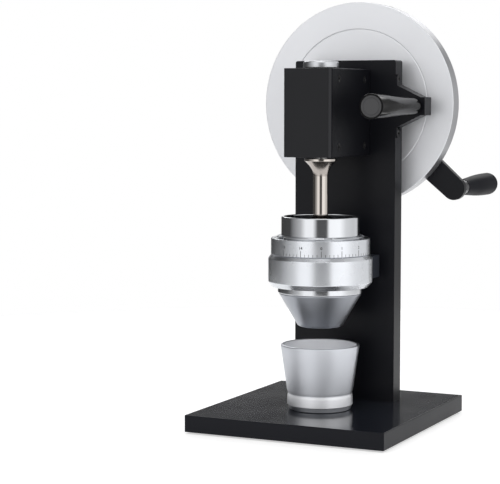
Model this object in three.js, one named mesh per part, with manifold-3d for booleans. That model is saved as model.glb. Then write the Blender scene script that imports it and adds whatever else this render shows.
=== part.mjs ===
// Hand-cranked coffee grinder with a vertical flywheel, as the separate pieces it is built from.
// Millimetres, +Z up. The origin is the centre of the underside, on the surface it stands on.
// -Y is the front, where the cup stands. The flywheel and its crank are behind the column, at +Y.

import * as THREE from "three";
import { mergeVertices } from "three/addons/utils/BufferGeometryUtils.js";
import Module from "manifold-3d";

const wasm = await Module();
wasm.setup();

// Driving dimensions: frame
const baseWidth = 222;
const baseDepth = 240;
const basePlateThickness = 18;
const padThickness = 1.6;
const columnWidth = 117;
const columnThickness = 20;
const columnAboveAxle = 46.8;
const columnSetback = 163.5;

// Driving dimensions: gearbox, axle and spindle
const axleHeight = 342.1;
const spindleReach = 65.3;
const housingWidth = 50;
const housingDepth = 104;
const housingHeight = 92;
const housingBelowAxle = 55.1;
const coverThickness = 4.2;
const gearModule = 1.75;
const gearTeeth = 20;

// Driving dimensions: flywheel, crank and side handle
const flywheelRadius = 111.4;
const flywheelThickness = 18.8;
const flywheelGap = 15.2;
const crankRadius = 140;
const crankDropAngle = 41;
const sideHandleBelowAxle = 2.4;

// Driving dimensions: grinding head and cup, with heights above the surface
const headBodyRadius = 55.1;
const headBodyBottom = 150.2;
const headBodyHeight = 34.1;
const adjusterRadius = 52.3;
const adjusterHeight = 17.2;
const collarRadius = 41.5;
const collarHeight = 20;
const neckRadius = 45;
const neckHeight = 6.5;
const outletHeight = 36.1;
const shaftRadius = 8;
const cupRimRadius = 42;
const cupHeight = 68.7;

// Clearances
const fitGap = 0.15;
const runGap = 0.3;
const threadGap = 0.2;
const cutOverrun = 1;
const weld = 0.0001;

// Numbers of sides of round surfaces
const wheelSides = 60;
const largeSides = 32;
const mediumSides = 20;
const smallSides = 12;
const screwSides = 8;

// Places that follow from the sizes above
const baseTop = padThickness + basePlateThickness;
const columnFront = columnSetback - baseDepth / 2;
const columnBack = columnFront + columnThickness;
const housingFront = columnFront - housingDepth;
const housingBottom = axleHeight - housingBelowAxle;
const housingTop = housingBottom + housingHeight;
const spindleY = columnFront - spindleReach;
const flywheelFront = columnBack + flywheelGap;
const flywheelBack = flywheelFront + flywheelThickness;
const columnMiddle = (columnFront + columnBack) / 2;
const sideHandleHeight = axleHeight - sideHandleBelowAxle;
const headBodyTop = headBodyBottom + headBodyHeight;
const neckBottom = headBodyBottom - neckHeight;
const adjusterBottom = headBodyTop + fitGap;
const adjusterTop = adjusterBottom + adjusterHeight;

// Solids from three.js geometry

function solid(geometry) {
  const bare = geometry.index ? geometry.toNonIndexed() : geometry.clone();
  bare.deleteAttribute("normal");
  bare.deleteAttribute("uv");
  const merged = mergeVertices(bare, weld);
  const mesh = new wasm.Mesh({
    numProp: 3,
    vertProperties: merged.attributes.position.array,
    triVerts: new Uint32Array(merged.index.array),
  });
  return new wasm.Manifold(mesh);
}

function union(first, ...others) {
  return others.reduce((whole, other) => whole.add(other), first);
}

function cut(first, ...others) {
  return others.reduce((whole, other) => whole.subtract(other), first);
}

function block(x0, x1, y0, y1, z0, z1) {
  const box = new THREE.BoxGeometry(x1 - x0, y1 - y0, z1 - z0);
  return solid(box.translate((x0 + x1) / 2, (y0 + y1) / 2, (z0 + z1) / 2));
}

// Turns a geometry whose axis is +Y so that the axis is +X, +Y or +Z.
function alongAxis(geometry, axis) {
  if (axis === "x") return geometry.rotateZ(-Math.PI / 2);
  if (axis === "z") return geometry.rotateX(Math.PI / 2);
  return geometry;
}

// A solid of revolution: profile points are [radius, place along the axis], in either order.
function turned(profile, sides, axis = "z") {
  const next = (i) => profile[(i + 1) % profile.length];
  const area = profile.reduce((sum, p, i) => sum + p[0] * next(i)[1] - next(i)[0] * p[1], 0);
  const ordered = area > 0 ? profile : [...profile].reverse();
  const onAxis = profile.some((p) => p[0] === 0);
  const points = ordered.map((p) => new THREE.Vector2(p[0], p[1]));
  if (onAxis) {
    while (!(points[0].x === 0 && points[points.length - 1].x === 0)) points.push(points.shift());
  } else {
    points.push(points[0].clone());
  }
  return solid(alongAxis(new THREE.LatheGeometry(points, sides), axis));
}

function rod(radius, from, to, sides, axis = "z") {
  const geometry = new THREE.CylinderGeometry(radius, radius, to - from, sides);
  return solid(alongAxis(geometry.translate(0, (from + to) / 2, 0), axis));
}

function tube(innerRadius, outerRadius, from, to, sides, axis = "z") {
  const profile = [
    [innerRadius, from],
    [outerRadius, from],
    [outerRadius, to],
    [innerRadius, to],
  ];
  return turned(profile, sides, axis);
}

function rectangle(width, height, cornerRadius) {
  const shape = new THREE.Shape();
  const x = width / 2;
  const y = height / 2;
  const r = cornerRadius;
  shape.moveTo(-x + r, -y);
  shape.lineTo(x - r, -y);
  if (r > 0) shape.absarc(x - r, -y + r, r, -Math.PI / 2, 0);
  shape.lineTo(x, y - r);
  if (r > 0) shape.absarc(x - r, y - r, r, 0, Math.PI / 2);
  shape.lineTo(-x + r, y);
  if (r > 0) shape.absarc(-x + r, y - r, r, Math.PI / 2, Math.PI);
  shape.lineTo(-x, -y + r);
  if (r > 0) shape.absarc(-x + r, -y + r, r, Math.PI, 1.5 * Math.PI);
  return shape;
}

function outline(points) {
  return new THREE.Shape(points.map((p) => new THREE.Vector2(p[0], p[1])));
}

// Extrudes a shape along +Z, with both rims chamfered.
function plate(shape, thickness, chamfer = 0, curveSegments = 6) {
  return new THREE.ExtrudeGeometry(shape, {
    depth: thickness - 2 * chamfer,
    curveSegments,
    bevelEnabled: chamfer > 0,
    bevelThickness: chamfer,
    bevelSize: chamfer,
    bevelOffset: -chamfer,
    bevelSegments: 1,
  }).translate(0, 0, chamfer);
}

// The same plate stood up, so that the shape lies in X and Z and its thickness runs from y towards +Y.
function standingPlate(shape, thickness, y, chamfer = 0, curveSegments = 6) {
  const geometry = plate(shape, thickness, chamfer, curveSegments);
  return geometry.rotateX(Math.PI / 2).translate(0, y + thickness, 0);
}

// Materials

const finish = (color, roughness, metalness) =>
  new THREE.MeshStandardMaterial({ color, roughness, metalness });
const blackAnodised = () => finish(0x1b1c1f, 0.45, 0.6);
const blackPlastic = () => finish(0x161618, 0.3, 0);
const brushedAluminium = () => finish(0xb9bcc0, 0.35, 1);
const blastedAluminium = () => finish(0xa7aaae, 0.5, 1);
const polishedSteel = () => finish(0xc9c8c6, 0.15, 1);
const plainSteel = () => finish(0x8e8f92, 0.35, 1);
const blackSteel = () => finish(0x242427, 0.4, 0.9);
const darkRubber = () => finish(0x1a1a1a, 0.9, 0);

// Assembly groups: each moving piece hangs in the group of the piece that carries it.

const grinder = new THREE.Group();
const head = new THREE.Group();
head.position.set(0, spindleY, 0);
const wheel = new THREE.Group();
wheel.position.set(0, 0, axleHeight);
wheel.rotation.y = THREE.MathUtils.degToRad(crankDropAngle);
const crankEnd = new THREE.Group();
crankEnd.position.set(crankRadius, 0, 0);
grinder.add(head, wheel);
wheel.add(crankEnd);

function piece(name, shape, material, group = grinder) {
  const mesh = shape.getMesh();
  const geometry = new THREE.BufferGeometry();
  geometry.setAttribute("position", new THREE.BufferAttribute(new Float32Array(mesh.vertProperties), 3));
  geometry.setIndex(new THREE.BufferAttribute(new Uint32Array(mesh.triVerts), 1));
  const flat = geometry.toNonIndexed();
  flat.computeVertexNormals();
  const part = new THREE.Mesh(flat, material);
  part.name = name;
  group.add(part);
  return part;
}

// Fasteners: each is modelled along +Z with its head's seat at zero, then placed and turned.

const screwSizes = {
  m4: { shank: 2, head: 3.9, headHeight: 2.3, socket: 1.25, socketDepth: 1.4 },
  m5: { shank: 2.5, head: 4.3, headHeight: 5, socket: 2, socketDepth: 2.6 },
  m6: { shank: 3, head: 5, headHeight: 6, socket: 2.5, socketDepth: 3.2 },
  m8: { shank: 4, head: 6.5, headHeight: 8, socket: 3, socketDepth: 4 },
};
const hexCornerShare = 2 / Math.sqrt(3);

function hexSocket(size, top) {
  return rod(size.socket * hexCornerShare, top - size.socketDepth, top + cutOverrun, 6);
}

function capScrew(size, length) {
  const body = turned(
    [
      [0, -length],
      [size.shank, -length],
      [size.shank, 0],
      [size.head, 0],
      [size.head, size.headHeight],
      [0, size.headHeight],
    ],
    screwSides,
  );
  return cut(body, hexSocket(size, size.headHeight));
}

// A countersunk screw has the top of its head at zero.
function countersunkScrew(size, length) {
  const body = turned(
    [
      [0, -length],
      [size.shank, -length],
      [size.shank, -size.headHeight],
      [size.head, 0],
      [0, 0],
    ],
    screwSides,
  );
  return cut(body, hexSocket(size, 0));
}

// The hole for a cap screw, along +Z, with the counterbore for its head above zero.
function capScrewHole(size, length, counterboreDepth) {
  return union(
    rod(size.shank + threadGap, -length - threadGap, cutOverrun, screwSides),
    rod(size.head + threadGap, 0, counterboreDepth, screwSides),
  );
}

function countersunkHole(size, length) {
  const wide = size.head + threadGap;
  const narrow = size.shank + threadGap;
  return turned(
    [
      [0, -length - threadGap],
      [narrow, -length - threadGap],
      [narrow, -size.headHeight - threadGap],
      [wide, -threadGap],
      [wide, cutOverrun],
      [0, cutOverrun],
    ],
    screwSides,
  );
}

// Turns that point a fastener's head along an axis
const headsDown = new THREE.Euler(Math.PI, 0, 0);
const headsBack = new THREE.Euler(-Math.PI / 2, 0, 0);
const headsFront = new THREE.Euler(Math.PI / 2, 0, 0);
const headsRight = new THREE.Euler(0, Math.PI / 2, 0);

function placed(shape, turn, x, y, z) {
  const matrix = new THREE.Matrix4().makeRotationFromEuler(turn);
  matrix.setPosition(x, y, z);
  return shape.transform(matrix.elements);
}

function placeMesh(mesh, turn, x, y, z) {
  mesh.rotation.copy(turn);
  mesh.position.set(x, y, z);
}

// Ball bearing as one closed ring, with its shield set back on the side that faces +axis.
const raceShare = 0.25;
const shieldSetback = 0.5;

function ballBearing(boreRadius, outerRadius, from, to, axis) {
  const raceWidth = (outerRadius - boreRadius) * raceShare;
  const profile = [
    [boreRadius, from],
    [outerRadius, from],
    [outerRadius, to],
    [outerRadius - raceWidth, to],
    [outerRadius - raceWidth, to - shieldSetback],
    [boreRadius + raceWidth, to - shieldSetback],
    [boreRadius + raceWidth, to],
    [boreRadius, to],
  ];
  return turned(profile, mediumSides, axis);
}

// Straight bevel gear for two shafts at a right angle. Its apex is at zero and its body lies
// below, towards -Z. The teeth run on lines through the apex. Their width at root and tip is
// that of an involute tooth on the back cone, and toothAngle is where one tooth's middle lies.
const gearFace = 8;
const gearBacklash = 0.36;
const gearHubRadius = 11;
const gearHubLength = 9;
const gearPitchRadius = (gearModule * gearTeeth) / 2;
const gearDedendum = 1.25 * gearModule;
const pressureAngle = THREE.MathUtils.degToRad(20);

function bevelTeeth(toothAngle) {
  const backRadius = gearPitchRadius * Math.SQRT2;
  const baseRadius = backRadius * Math.cos(pressureAngle);
  const rootRadius = backRadius - gearDedendum;
  const involute = (angle) => Math.tan(angle) - angle;
  const halfPitchAngle = (gearModule * Math.PI * 0.5 - gearBacklash) / (2 * backRadius);
  const halfAngle = (radius) => {
    const angle = Math.acos(Math.min(1, baseRadius / radius));
    return halfPitchAngle + involute(pressureAngle) - involute(angle);
  };
  const flank = [rootRadius, backRadius + gearModule];
  const ring = [];
  for (let tooth = 0; tooth < gearTeeth; tooth++) {
    const middle = toothAngle + (tooth * 2 * Math.PI) / gearTeeth;
    const add = (radius, side) => {
      const rise = (radius - backRadius) / Math.SQRT2;
      const angle = middle + side * Math.SQRT2 * halfAngle(radius);
      const r = gearPitchRadius + rise;
      ring.push([r * Math.cos(angle), r * Math.sin(angle), rise - gearPitchRadius]);
    };
    flank.forEach((radius) => add(radius, -1));
    [...flank].reverse().forEach((radius) => add(radius, 1));
  }
  const smallShare = 1 - gearFace / (gearPitchRadius * Math.SQRT2);
  const count = ring.length;
  const small = ring.map((p) => p.map((v) => v * smallShare));
  const rootRise = gearDedendum / Math.SQRT2;
  const largeFloor = -gearPitchRadius - rootRise;
  const points = [...small, ...ring, [0, 0, largeFloor * smallShare], [0, 0, largeFloor]];
  const faces = [];
  for (let i = 0; i < count; i++) {
    const j = (i + 1) % count;
    faces.push(i, j, 2 * count);
    faces.push(i, count + i, j, j, count + i, count + j);
    faces.push(count + j, count + i, 2 * count + 1);
  }
  const geometry = new THREE.BufferGeometry();
  geometry.setAttribute("position", new THREE.Float32BufferAttribute(points.flat(), 3));
  geometry.setIndex(faces);
  return solid(geometry);
}

// The gear's hub reaches from inside the teeth to its own end, below the large end.
function bevelGear(toothAngle) {
  const hubTop = -gearPitchRadius;
  const hubEnd = -gearPitchRadius - gearDedendum / Math.SQRT2 - gearHubLength;
  return union(bevelTeeth(toothAngle), rod(gearHubRadius, hubEnd, hubTop, mediumSides));
}

// Base: a rubber sheet under a heavy plate, with the column screwed to it from below.

const padInset = 8;
const baseChamfer = 1;
const columnScrewSpacing = 40;
const columnScrewCount = 3;
const columnScrewLength = 30;
const columnScrewHeadDrop = 0.5;

const padShape = rectangle(baseWidth - 2 * padInset, baseDepth - 2 * padInset, padInset);
piece("base_pad", solid(plate(padShape, padThickness)), darkRubber());

const columnScrewSeat = padThickness + screwSizes.m8.headHeight + columnScrewHeadDrop;
const columnScrewPlaces = [];
for (let i = 0; i < columnScrewCount; i++) {
  columnScrewPlaces.push((i - (columnScrewCount - 1) / 2) * columnScrewSpacing);
}
const columnScrewHoles = columnScrewPlaces.map((x) => {
  const hole = capScrewHole(screwSizes.m8, columnScrewLength, columnScrewSeat);
  return placed(hole, headsDown, x, columnMiddle, columnScrewSeat);
});

const basePlate = plate(rectangle(baseWidth, baseDepth, 0), basePlateThickness, baseChamfer);
const basePlateSolid = solid(basePlate.translate(0, 0, padThickness));
piece("base_plate", cut(basePlateSolid, ...columnScrewHoles), blackAnodised());

columnScrewPlaces.forEach((x, i) => {
  const screw = piece(`column_screw_${i + 1}`, capScrew(screwSizes.m8, columnScrewLength), blackSteel());
  placeMesh(screw, headsDown, x, columnMiddle, columnScrewSeat);
});

// Gearbox screws and bearing seats are shared by the column, the housing and the cover.

const housingWall = 5;
const housingFloor = 16;
const housingBackWall = 16;
const gearboxBoltInsetX = 9;
const gearboxBoltInsetZ = 10;
const gearboxBoltGrip = 11;
const carrierBoltX = 25;
const carrierBoltReach = 9;
const boltHeadSink = 6.2;
const boltSeatY = columnBack - boltHeadSink;

const smallBearing = { bore: 7.5, outer: 14, width: 7 };
const axleBearing = { bore: 7.5, outer: 17.5, width: 11 };
const burrBearing = { bore: 4, outer: 11, width: 7 };
const bearingLip = 2;
const axleLipRadius = axleBearing.bore + bearingLip;

const gearboxBoltPlaces = [];
for (const side of [-1, 1]) {
  for (const z of [housingBottom + gearboxBoltInsetZ, housingTop - gearboxBoltInsetZ]) {
    gearboxBoltPlaces.push([side * (housingWidth / 2 - gearboxBoltInsetX), z]);
  }
}
const gearboxBoltLength = boltSeatY - columnFront + gearboxBoltGrip;
const gearboxBoltHoles = gearboxBoltPlaces.map(([x, z]) => {
  const hole = capScrewHole(screwSizes.m6, gearboxBoltLength, boltHeadSink + cutOverrun);
  return placed(hole, headsBack, x, boltSeatY, z);
});

// The carrier bolts go through the column and the carrier arm into the grinding head's body.
const armHeight = 24;
const armHalfWidth = 41.3;
const armReach = 30;
const headLowerChamfer = 5.5;
const headUpperChamfer = 4;
const armMiddle = headBodyBottom + headLowerChamfer + armHeight / 2;
const armBottom = armMiddle - armHeight / 2;
const armTop = armMiddle + armHeight / 2;
const headBackAtBolt = spindleY + Math.sqrt(headBodyRadius ** 2 - carrierBoltX ** 2);
const carrierBoltLength = boltSeatY - headBackAtBolt + carrierBoltReach;
const carrierBoltHoles = [-carrierBoltX, carrierBoltX].map((x) => {
  const hole = capScrewHole(screwSizes.m6, carrierBoltLength, boltHeadSink + cutOverrun);
  return placed(hole, headsBack, x, boltSeatY, armMiddle);
});

// Column: one flat bar with slightly rounded top corners.

const columnCornerRadius = 2.5;
const columnChamfer = 0.6;
const bracketScrewSpread = 28.9;
const bracketScrewLength = 14;
const bracketFlangeThickness = 1.5;
const bracketFlangeWidth = 11;
const bracketFlangeLength = 68.6;

const columnRight = columnWidth / 2;
const bracketFlangeRight = columnRight + bracketFlangeThickness;
const bracketFlangeMiddle = columnFront + bracketFlangeWidth / 2;
const bracketScrewPlaces = [
  sideHandleHeight - bracketScrewSpread,
  sideHandleHeight + bracketScrewSpread,
];
const bracketScrewHoles = bracketScrewPlaces.map((z) => {
  const hole = countersunkHole(screwSizes.m4, bracketScrewLength);
  return placed(hole, headsRight, bracketFlangeRight, bracketFlangeMiddle, z);
});

function columnShape() {
  const x = columnWidth / 2;
  const top = axleHeight + columnAboveAxle;
  const shape = new THREE.Shape();
  shape.moveTo(-x, baseTop);
  shape.lineTo(x, baseTop);
  shape.lineTo(x, top - columnCornerRadius);
  shape.absarc(x - columnCornerRadius, top - columnCornerRadius, columnCornerRadius, 0, Math.PI / 2);
  shape.absarc(columnCornerRadius - x, top - columnCornerRadius, columnCornerRadius, Math.PI / 2, Math.PI);
  return shape;
}

function column() {
  const bar = solid(standingPlate(columnShape(), columnThickness, columnFront, columnChamfer, 4));
  const seat = axleBearing.outer + fitGap;
  const bores = union(
    rod(axleLipRadius, columnFront - cutOverrun, columnBack, mediumSides, "y"),
    rod(seat, columnBack - axleBearing.width, columnBack + cutOverrun, mediumSides, "y"),
  ).translate([0, 0, axleHeight]);
  return cut(bar, bores, ...gearboxBoltHoles, ...carrierBoltHoles, ...columnScrewHoles, ...bracketScrewHoles);
}
piece("column", column(), blackAnodised());

gearboxBoltPlaces.forEach(([x, z], i) => {
  const bolt = piece(`gearbox_bolt_${i + 1}`, capScrew(screwSizes.m6, gearboxBoltLength), blackSteel());
  placeMesh(bolt, headsBack, x, boltSeatY, z);
});
[-carrierBoltX, carrierBoltX].forEach((x, i) => {
  const bolt = piece(`carrier_bolt_${i + 1}`, capScrew(screwSizes.m6, carrierBoltLength), blackSteel());
  placeMesh(bolt, headsBack, x, boltSeatY, armMiddle);
});

// Gearbox housing: a milled block, hollow and open on its right side, which the cover closes.

const coverChamfer = 0.8;
const coverScrewInset = 11;
const coverScrewFrontInset = 18.5;
const coverScrewBackInset = 15.5;
const coverScrewLength = 11;
const coverLeft = housingWidth / 2;
const coverRight = coverLeft + coverThickness;

const coverScrewPlaces = [];
for (const y of [housingFront + coverScrewFrontInset, columnFront - coverScrewBackInset]) {
  for (const z of [housingBottom + coverScrewInset, housingTop - coverScrewInset]) {
    coverScrewPlaces.push([y, z]);
  }
}
const coverScrewHoles = coverScrewPlaces.map(([y, z]) => {
  const hole = countersunkHole(screwSizes.m4, coverScrewLength);
  return placed(hole, headsRight, coverRight, y, z);
});

const cavityBack = columnFront - housingBackWall;
const axleFrontBearingY = cavityBack + bearingLip;

function gearboxHousing() {
  const bar = block(-coverLeft, coverLeft, housingFront, columnFront, housingBottom, housingTop);
  const cavity = block(
    -coverLeft + housingWall,
    coverLeft + cutOverrun,
    housingFront + housingWall,
    cavityBack,
    housingBottom + housingFloor,
    housingTop - housingFloor,
  );
  const seat = smallBearing.outer + fitGap;
  const lip = smallBearing.bore + bearingLip;
  const spindleBore = union(
    rod(lip, housingBottom - cutOverrun, housingTop + cutOverrun, smallSides),
    rod(seat, housingBottom + bearingLip, housingTop - bearingLip, mediumSides),
  ).translate([0, spindleY, 0]);
  const axleBore = union(
    rod(seat, cavityBack - cutOverrun, axleFrontBearingY + smallBearing.width, mediumSides, "y"),
    rod(axleLipRadius, cavityBack - cutOverrun, columnFront + cutOverrun, smallSides, "y"),
  ).translate([0, 0, axleHeight]);
  return cut(bar, cavity, spindleBore, axleBore, ...gearboxBoltHoles, ...coverScrewHoles);
}
piece("gearbox_housing", gearboxHousing(), blackAnodised());

function gearboxCover() {
  const geometry = plate(rectangle(housingDepth, housingHeight, 0), coverThickness, coverChamfer);
  geometry.rotateX(Math.PI / 2).rotateZ(Math.PI / 2);
  geometry.translate(coverLeft, housingFront + housingDepth / 2, housingBottom + housingHeight / 2);
  return cut(solid(geometry), ...coverScrewHoles);
}
piece("gearbox_cover", gearboxCover(), blackAnodised());

coverScrewPlaces.forEach(([y, z], i) => {
  const shape = countersunkScrew(screwSizes.m4, coverScrewLength);
  const screw = piece(`cover_screw_${i + 1}`, shape, blackSteel());
  placeMesh(screw, headsRight, coverRight, y, z);
});

// Bearings of the axle and of the spindle

const axleFrontBearing = ballBearing(
  smallBearing.bore + fitGap,
  smallBearing.outer,
  axleFrontBearingY,
  axleFrontBearingY + smallBearing.width - fitGap,
  "y",
);
piece("axle_front_bearing", axleFrontBearing.translate([0, 0, axleHeight]), plainSteel());

const axleRearBearing = ballBearing(
  axleBearing.bore + fitGap,
  axleBearing.outer,
  columnBack - axleBearing.width + fitGap,
  columnBack,
  "y",
);
piece("axle_rear_bearing", axleRearBearing.translate([0, 0, axleHeight]), plainSteel());

const lowerBearingZ = housingBottom + bearingLip + fitGap;
const upperBearingZ = housingTop - bearingLip - fitGap - smallBearing.width;

function spindleBearing(bottom) {
  const bore = smallBearing.bore + fitGap;
  return ballBearing(bore, smallBearing.outer, bottom, bottom + smallBearing.width, "z");
}
piece("spindle_lower_bearing", spindleBearing(lowerBearingZ), plainSteel(), head);
piece("spindle_upper_bearing", spindleBearing(upperBearingZ), plainSteel(), head);

// Side handle: a wedge-shaped bracket on the column's right side holds a plastic grip.

const bracketRootHalf = 22.9;
const bracketEndHalf = 9.6;
const bracketSlopeLength = 28.2;
const bracketEndLength = 4.8;
const gripAxisInset = 11.5;
const gripLength = 125;
const gripEndRadius = 13;
const gripWaistRadius = 9.2;
const gripRootRadius = 8.6;
const gripEdgeRadius = 1.2;
const gripCapRadius = 11.2;
const gripCapThickness = 3;
const gripCapSetback = 0.6;
const gripBoltHeadDepth = 14;
const gripBoltThread = 13;

const bracketSlopeEnd = columnRight + bracketSlopeLength;
const bracketEnd = bracketSlopeEnd + bracketEndLength;
const sideGripX = bracketEnd - gripAxisInset;
const sideGripRoot = columnFront - runGap;
const sideGripFront = sideGripRoot - gripLength;
const gripBoltSeat = sideGripFront + gripBoltHeadDepth;
const gripBoltLength = columnFront + gripBoltThread - gripBoltSeat;

function sideHandleBracket() {
  const flange = plate(
    rectangle(bracketFlangeWidth, bracketFlangeLength, bracketFlangeWidth / 2),
    bracketFlangeThickness,
    0,
    6,
  );
  flange.rotateX(Math.PI / 2).rotateZ(Math.PI / 2);
  flange.translate(columnRight, bracketFlangeMiddle, sideHandleHeight);
  const wedge = standingPlate(
    outline([
      [columnRight, -bracketRootHalf],
      [bracketSlopeEnd, -bracketEndHalf],
      [bracketEnd, -bracketEndHalf],
      [bracketEnd, bracketEndHalf],
      [bracketSlopeEnd, bracketEndHalf],
      [columnRight, bracketRootHalf],
    ]),
    columnThickness,
    columnFront,
  ).translate(0, 0, sideHandleHeight);
  const boltHole = rod(
    screwSizes.m8.shank + threadGap,
    columnFront - cutOverrun,
    columnFront + gripBoltThread + threadGap,
    screwSides,
    "y",
  );
  const gripHole = boltHole.translate([sideGripX, 0, sideHandleHeight]);
  return cut(union(solid(flange), solid(wedge)), gripHole, ...bracketScrewHoles);
}
piece("side_handle_bracket", sideHandleBracket(), blackAnodised());

bracketScrewPlaces.forEach((z, i) => {
  const screw = countersunkScrew(screwSizes.m4, bracketScrewLength);
  const mesh = piece(`bracket_screw_${i + 1}`, screw, blackSteel());
  placeMesh(mesh, headsRight, bracketFlangeRight, bracketFlangeMiddle, z);
});

// Shares of the grip's length from its root, each with the share of its swell from the waist
// to the front end
const sideGripShares = [
  [0.05, 0.05],
  [0.2, 0],
  [0.32, 0.04],
  [0.45, 0.25],
  [0.6, 0.56],
  [0.76, 0.84],
  [0.9, 1],
];
const roundedEdgeShare = 0.3;

function sideGrip() {
  const radiusAt = (swell) => gripWaistRadius + swell * (gripEndRadius - gripWaistRadius);
  const capSeat = sideGripFront + gripCapSetback + gripCapThickness;
  const profile = [
    [screwSizes.m8.shank + fitGap, sideGripRoot],
    [gripRootRadius, sideGripRoot],
    ...sideGripShares.map(([share, swell]) => [radiusAt(swell), sideGripRoot - share * gripLength]),
    [gripEndRadius, sideGripFront + gripEdgeRadius],
    [gripEndRadius - gripEdgeRadius * roundedEdgeShare, sideGripFront + gripEdgeRadius * roundedEdgeShare],
    [gripEndRadius - gripEdgeRadius, sideGripFront],
    [gripCapRadius + fitGap, sideGripFront],
    [gripCapRadius + fitGap, capSeat],
    [screwSizes.m8.head + threadGap, capSeat],
    [screwSizes.m8.head + threadGap, gripBoltSeat],
    [screwSizes.m8.shank + fitGap, gripBoltSeat],
  ];
  return turned(profile, mediumSides, "y");
}
const sideGripMesh = piece("side_grip", sideGrip(), blackPlastic());
sideGripMesh.position.set(sideGripX, 0, sideHandleHeight);

const sideGripBolt = piece("side_grip_bolt", capScrew(screwSizes.m8, gripBoltLength), blackSteel());
placeMesh(sideGripBolt, headsFront, sideGripX, gripBoltSeat, sideHandleHeight);

const gripCapFront = sideGripFront + gripCapSetback;
const gripCap = rod(gripCapRadius, gripCapFront, gripCapFront + gripCapThickness - fitGap, mediumSides, "y");
const gripCapMesh = piece("side_grip_cap", gripCap, blackPlastic());
gripCapMesh.position.set(sideGripX, 0, sideHandleHeight);

// Carrier arm: the block between the column and the grinding head, hollowed to the head's radius.

function carrierArm() {
  const bar = block(-armHalfWidth, armHalfWidth, columnFront - armReach, columnFront, armBottom, armTop);
  const seat = headBodyRadius + fitGap;
  const hollow = rod(seat, armBottom - cutOverrun, armTop + cutOverrun, largeSides);
  return cut(bar, hollow.translate([0, spindleY, 0]), ...carrierBoltHoles);
}
piece("carrier_arm", carrierArm(), blackAnodised());

// Grinding head body: an outer cylinder, with a bridge of three arms under the burrs that
// carries the lower bearing, and a rim inside the adjuster that holds the adjuster's keeper.

const headFootRadius = 51;
const headRimRadius = 49.6;
const headRimHeight = 8;
const holderRadius = 43.5;
const headInnerRadius = 38;
const outletSpigotRadius = 40;
const outletSpigotHeight = 8;
const bridgeHeight = 8.2;
const bridgeArmWidth = 7;
const bridgeArmCount = 3;
const bridgeHubRadius = 14.5;
const bridgeFloor = 1.2;
const bridgeHoleRadius = 6.5;
const holderDrop = 14;
const keeperHeight = 1.8;
const keeperDepth = 1;
const keeperRise = 3;
const guidePinRadius = 1.5;
const guidePinLength = 12;
const guidePinRise = 7;
const guidePinBite = 2;

const bridgeBottom = headBodyBottom + outletSpigotHeight + fitGap;
const bridgeTop = bridgeBottom + bridgeHeight;
const headRimTop = headBodyTop + headRimHeight;
const holderBore = holderRadius + runGap;
const holderBoreBottom = headBodyTop - holderDrop;
const keeperBottom = headBodyTop + keeperRise;
const keeperTop = keeperBottom + keeperHeight;
const guidePinZ = holderBoreBottom + guidePinRise;
const guidePinInner = holderRadius - guidePinBite;

function headBody() {
  const shell = turned(
    [
      [outletSpigotRadius + fitGap, headBodyBottom],
      [headFootRadius, headBodyBottom],
      [headBodyRadius, headBodyBottom + headLowerChamfer],
      [headBodyRadius, headBodyTop - headUpperChamfer],
      [adjusterRadius, headBodyTop],
      [headRimRadius, headBodyTop],
      [headRimRadius, keeperBottom - fitGap],
      [headRimRadius - keeperDepth, keeperBottom - fitGap],
      [headRimRadius - keeperDepth, keeperTop + fitGap],
      [headRimRadius, keeperTop + fitGap],
      [headRimRadius, headRimTop],
      [holderBore, headRimTop],
      [holderBore, holderBoreBottom],
      [headInnerRadius, bridgeTop],
      [headInnerRadius, bridgeBottom],
      [outletSpigotRadius + fitGap, bridgeBottom],
    ],
    largeSides,
  );
  const arms = [];
  for (let i = 0; i < bridgeArmCount; i++) {
    const reach = headInnerRadius + runGap;
    const arm = block(0, reach, -bridgeArmWidth / 2, bridgeArmWidth / 2, bridgeBottom, bridgeTop);
    arms.push(arm.rotate([0, 0, 90 + (i * 360) / bridgeArmCount]));
  }
  const hub = rod(bridgeHubRadius, bridgeBottom, bridgeTop, mediumSides);
  const bearingSeat = union(
    rod(burrBearing.outer + fitGap, bridgeBottom + bridgeFloor, bridgeTop + cutOverrun, mediumSides),
    rod(bridgeHoleRadius, bridgeBottom - cutOverrun, bridgeTop, smallSides),
  );
  const pinHole = rod(guidePinRadius + fitGap, guidePinInner, headBodyRadius + cutOverrun, screwSides, "y");
  const boltHoles = carrierBoltHoles.map((hole) => hole.translate([0, -spindleY, 0]));
  const body = union(shell, hub, ...arms);
  return cut(body, bearingSeat, pinHole.translate([0, 0, guidePinZ]), ...boltHoles);
}
piece("head_body", headBody(), blastedAluminium(), head);

const burrBearingZ = bridgeBottom + bridgeFloor;
const lowerBurrBearing = ballBearing(
  burrBearing.bore + fitGap,
  burrBearing.outer,
  burrBearingZ,
  burrBearingZ + burrBearing.width - fitGap,
  "z",
);
piece("burr_bearing", lowerBurrBearing, plainSteel(), head);

// The guide pin is driven in from behind, where the carrier arm covers its hole.
const guidePin = rod(guidePinRadius, guidePinInner, guidePinInner + guidePinLength, screwSides, "y");
piece("guide_pin", guidePin.translate([0, 0, guidePinZ]), plainSteel(), head);

// Keeper: a split spring ring, half in the body's rim and half in the adjuster.
const keeperSplit = 4;
function adjusterKeeper() {
  const inner = headRimRadius - keeperDepth + fitGap;
  const outer = headRimRadius + keeperDepth;
  const ring = tube(inner, outer, keeperBottom, keeperTop, largeSides);
  const split = block(
    0,
    outer + cutOverrun,
    -keeperSplit / 2,
    keeperSplit / 2,
    keeperBottom - cutOverrun,
    keeperTop + cutOverrun,
  );
  return cut(ring, split);
}
piece("adjuster_keeper", adjusterKeeper(), plainSteel(), head);

// Neck ring and outlet: the outlet screws into the body and clamps the polished ring.

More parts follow.
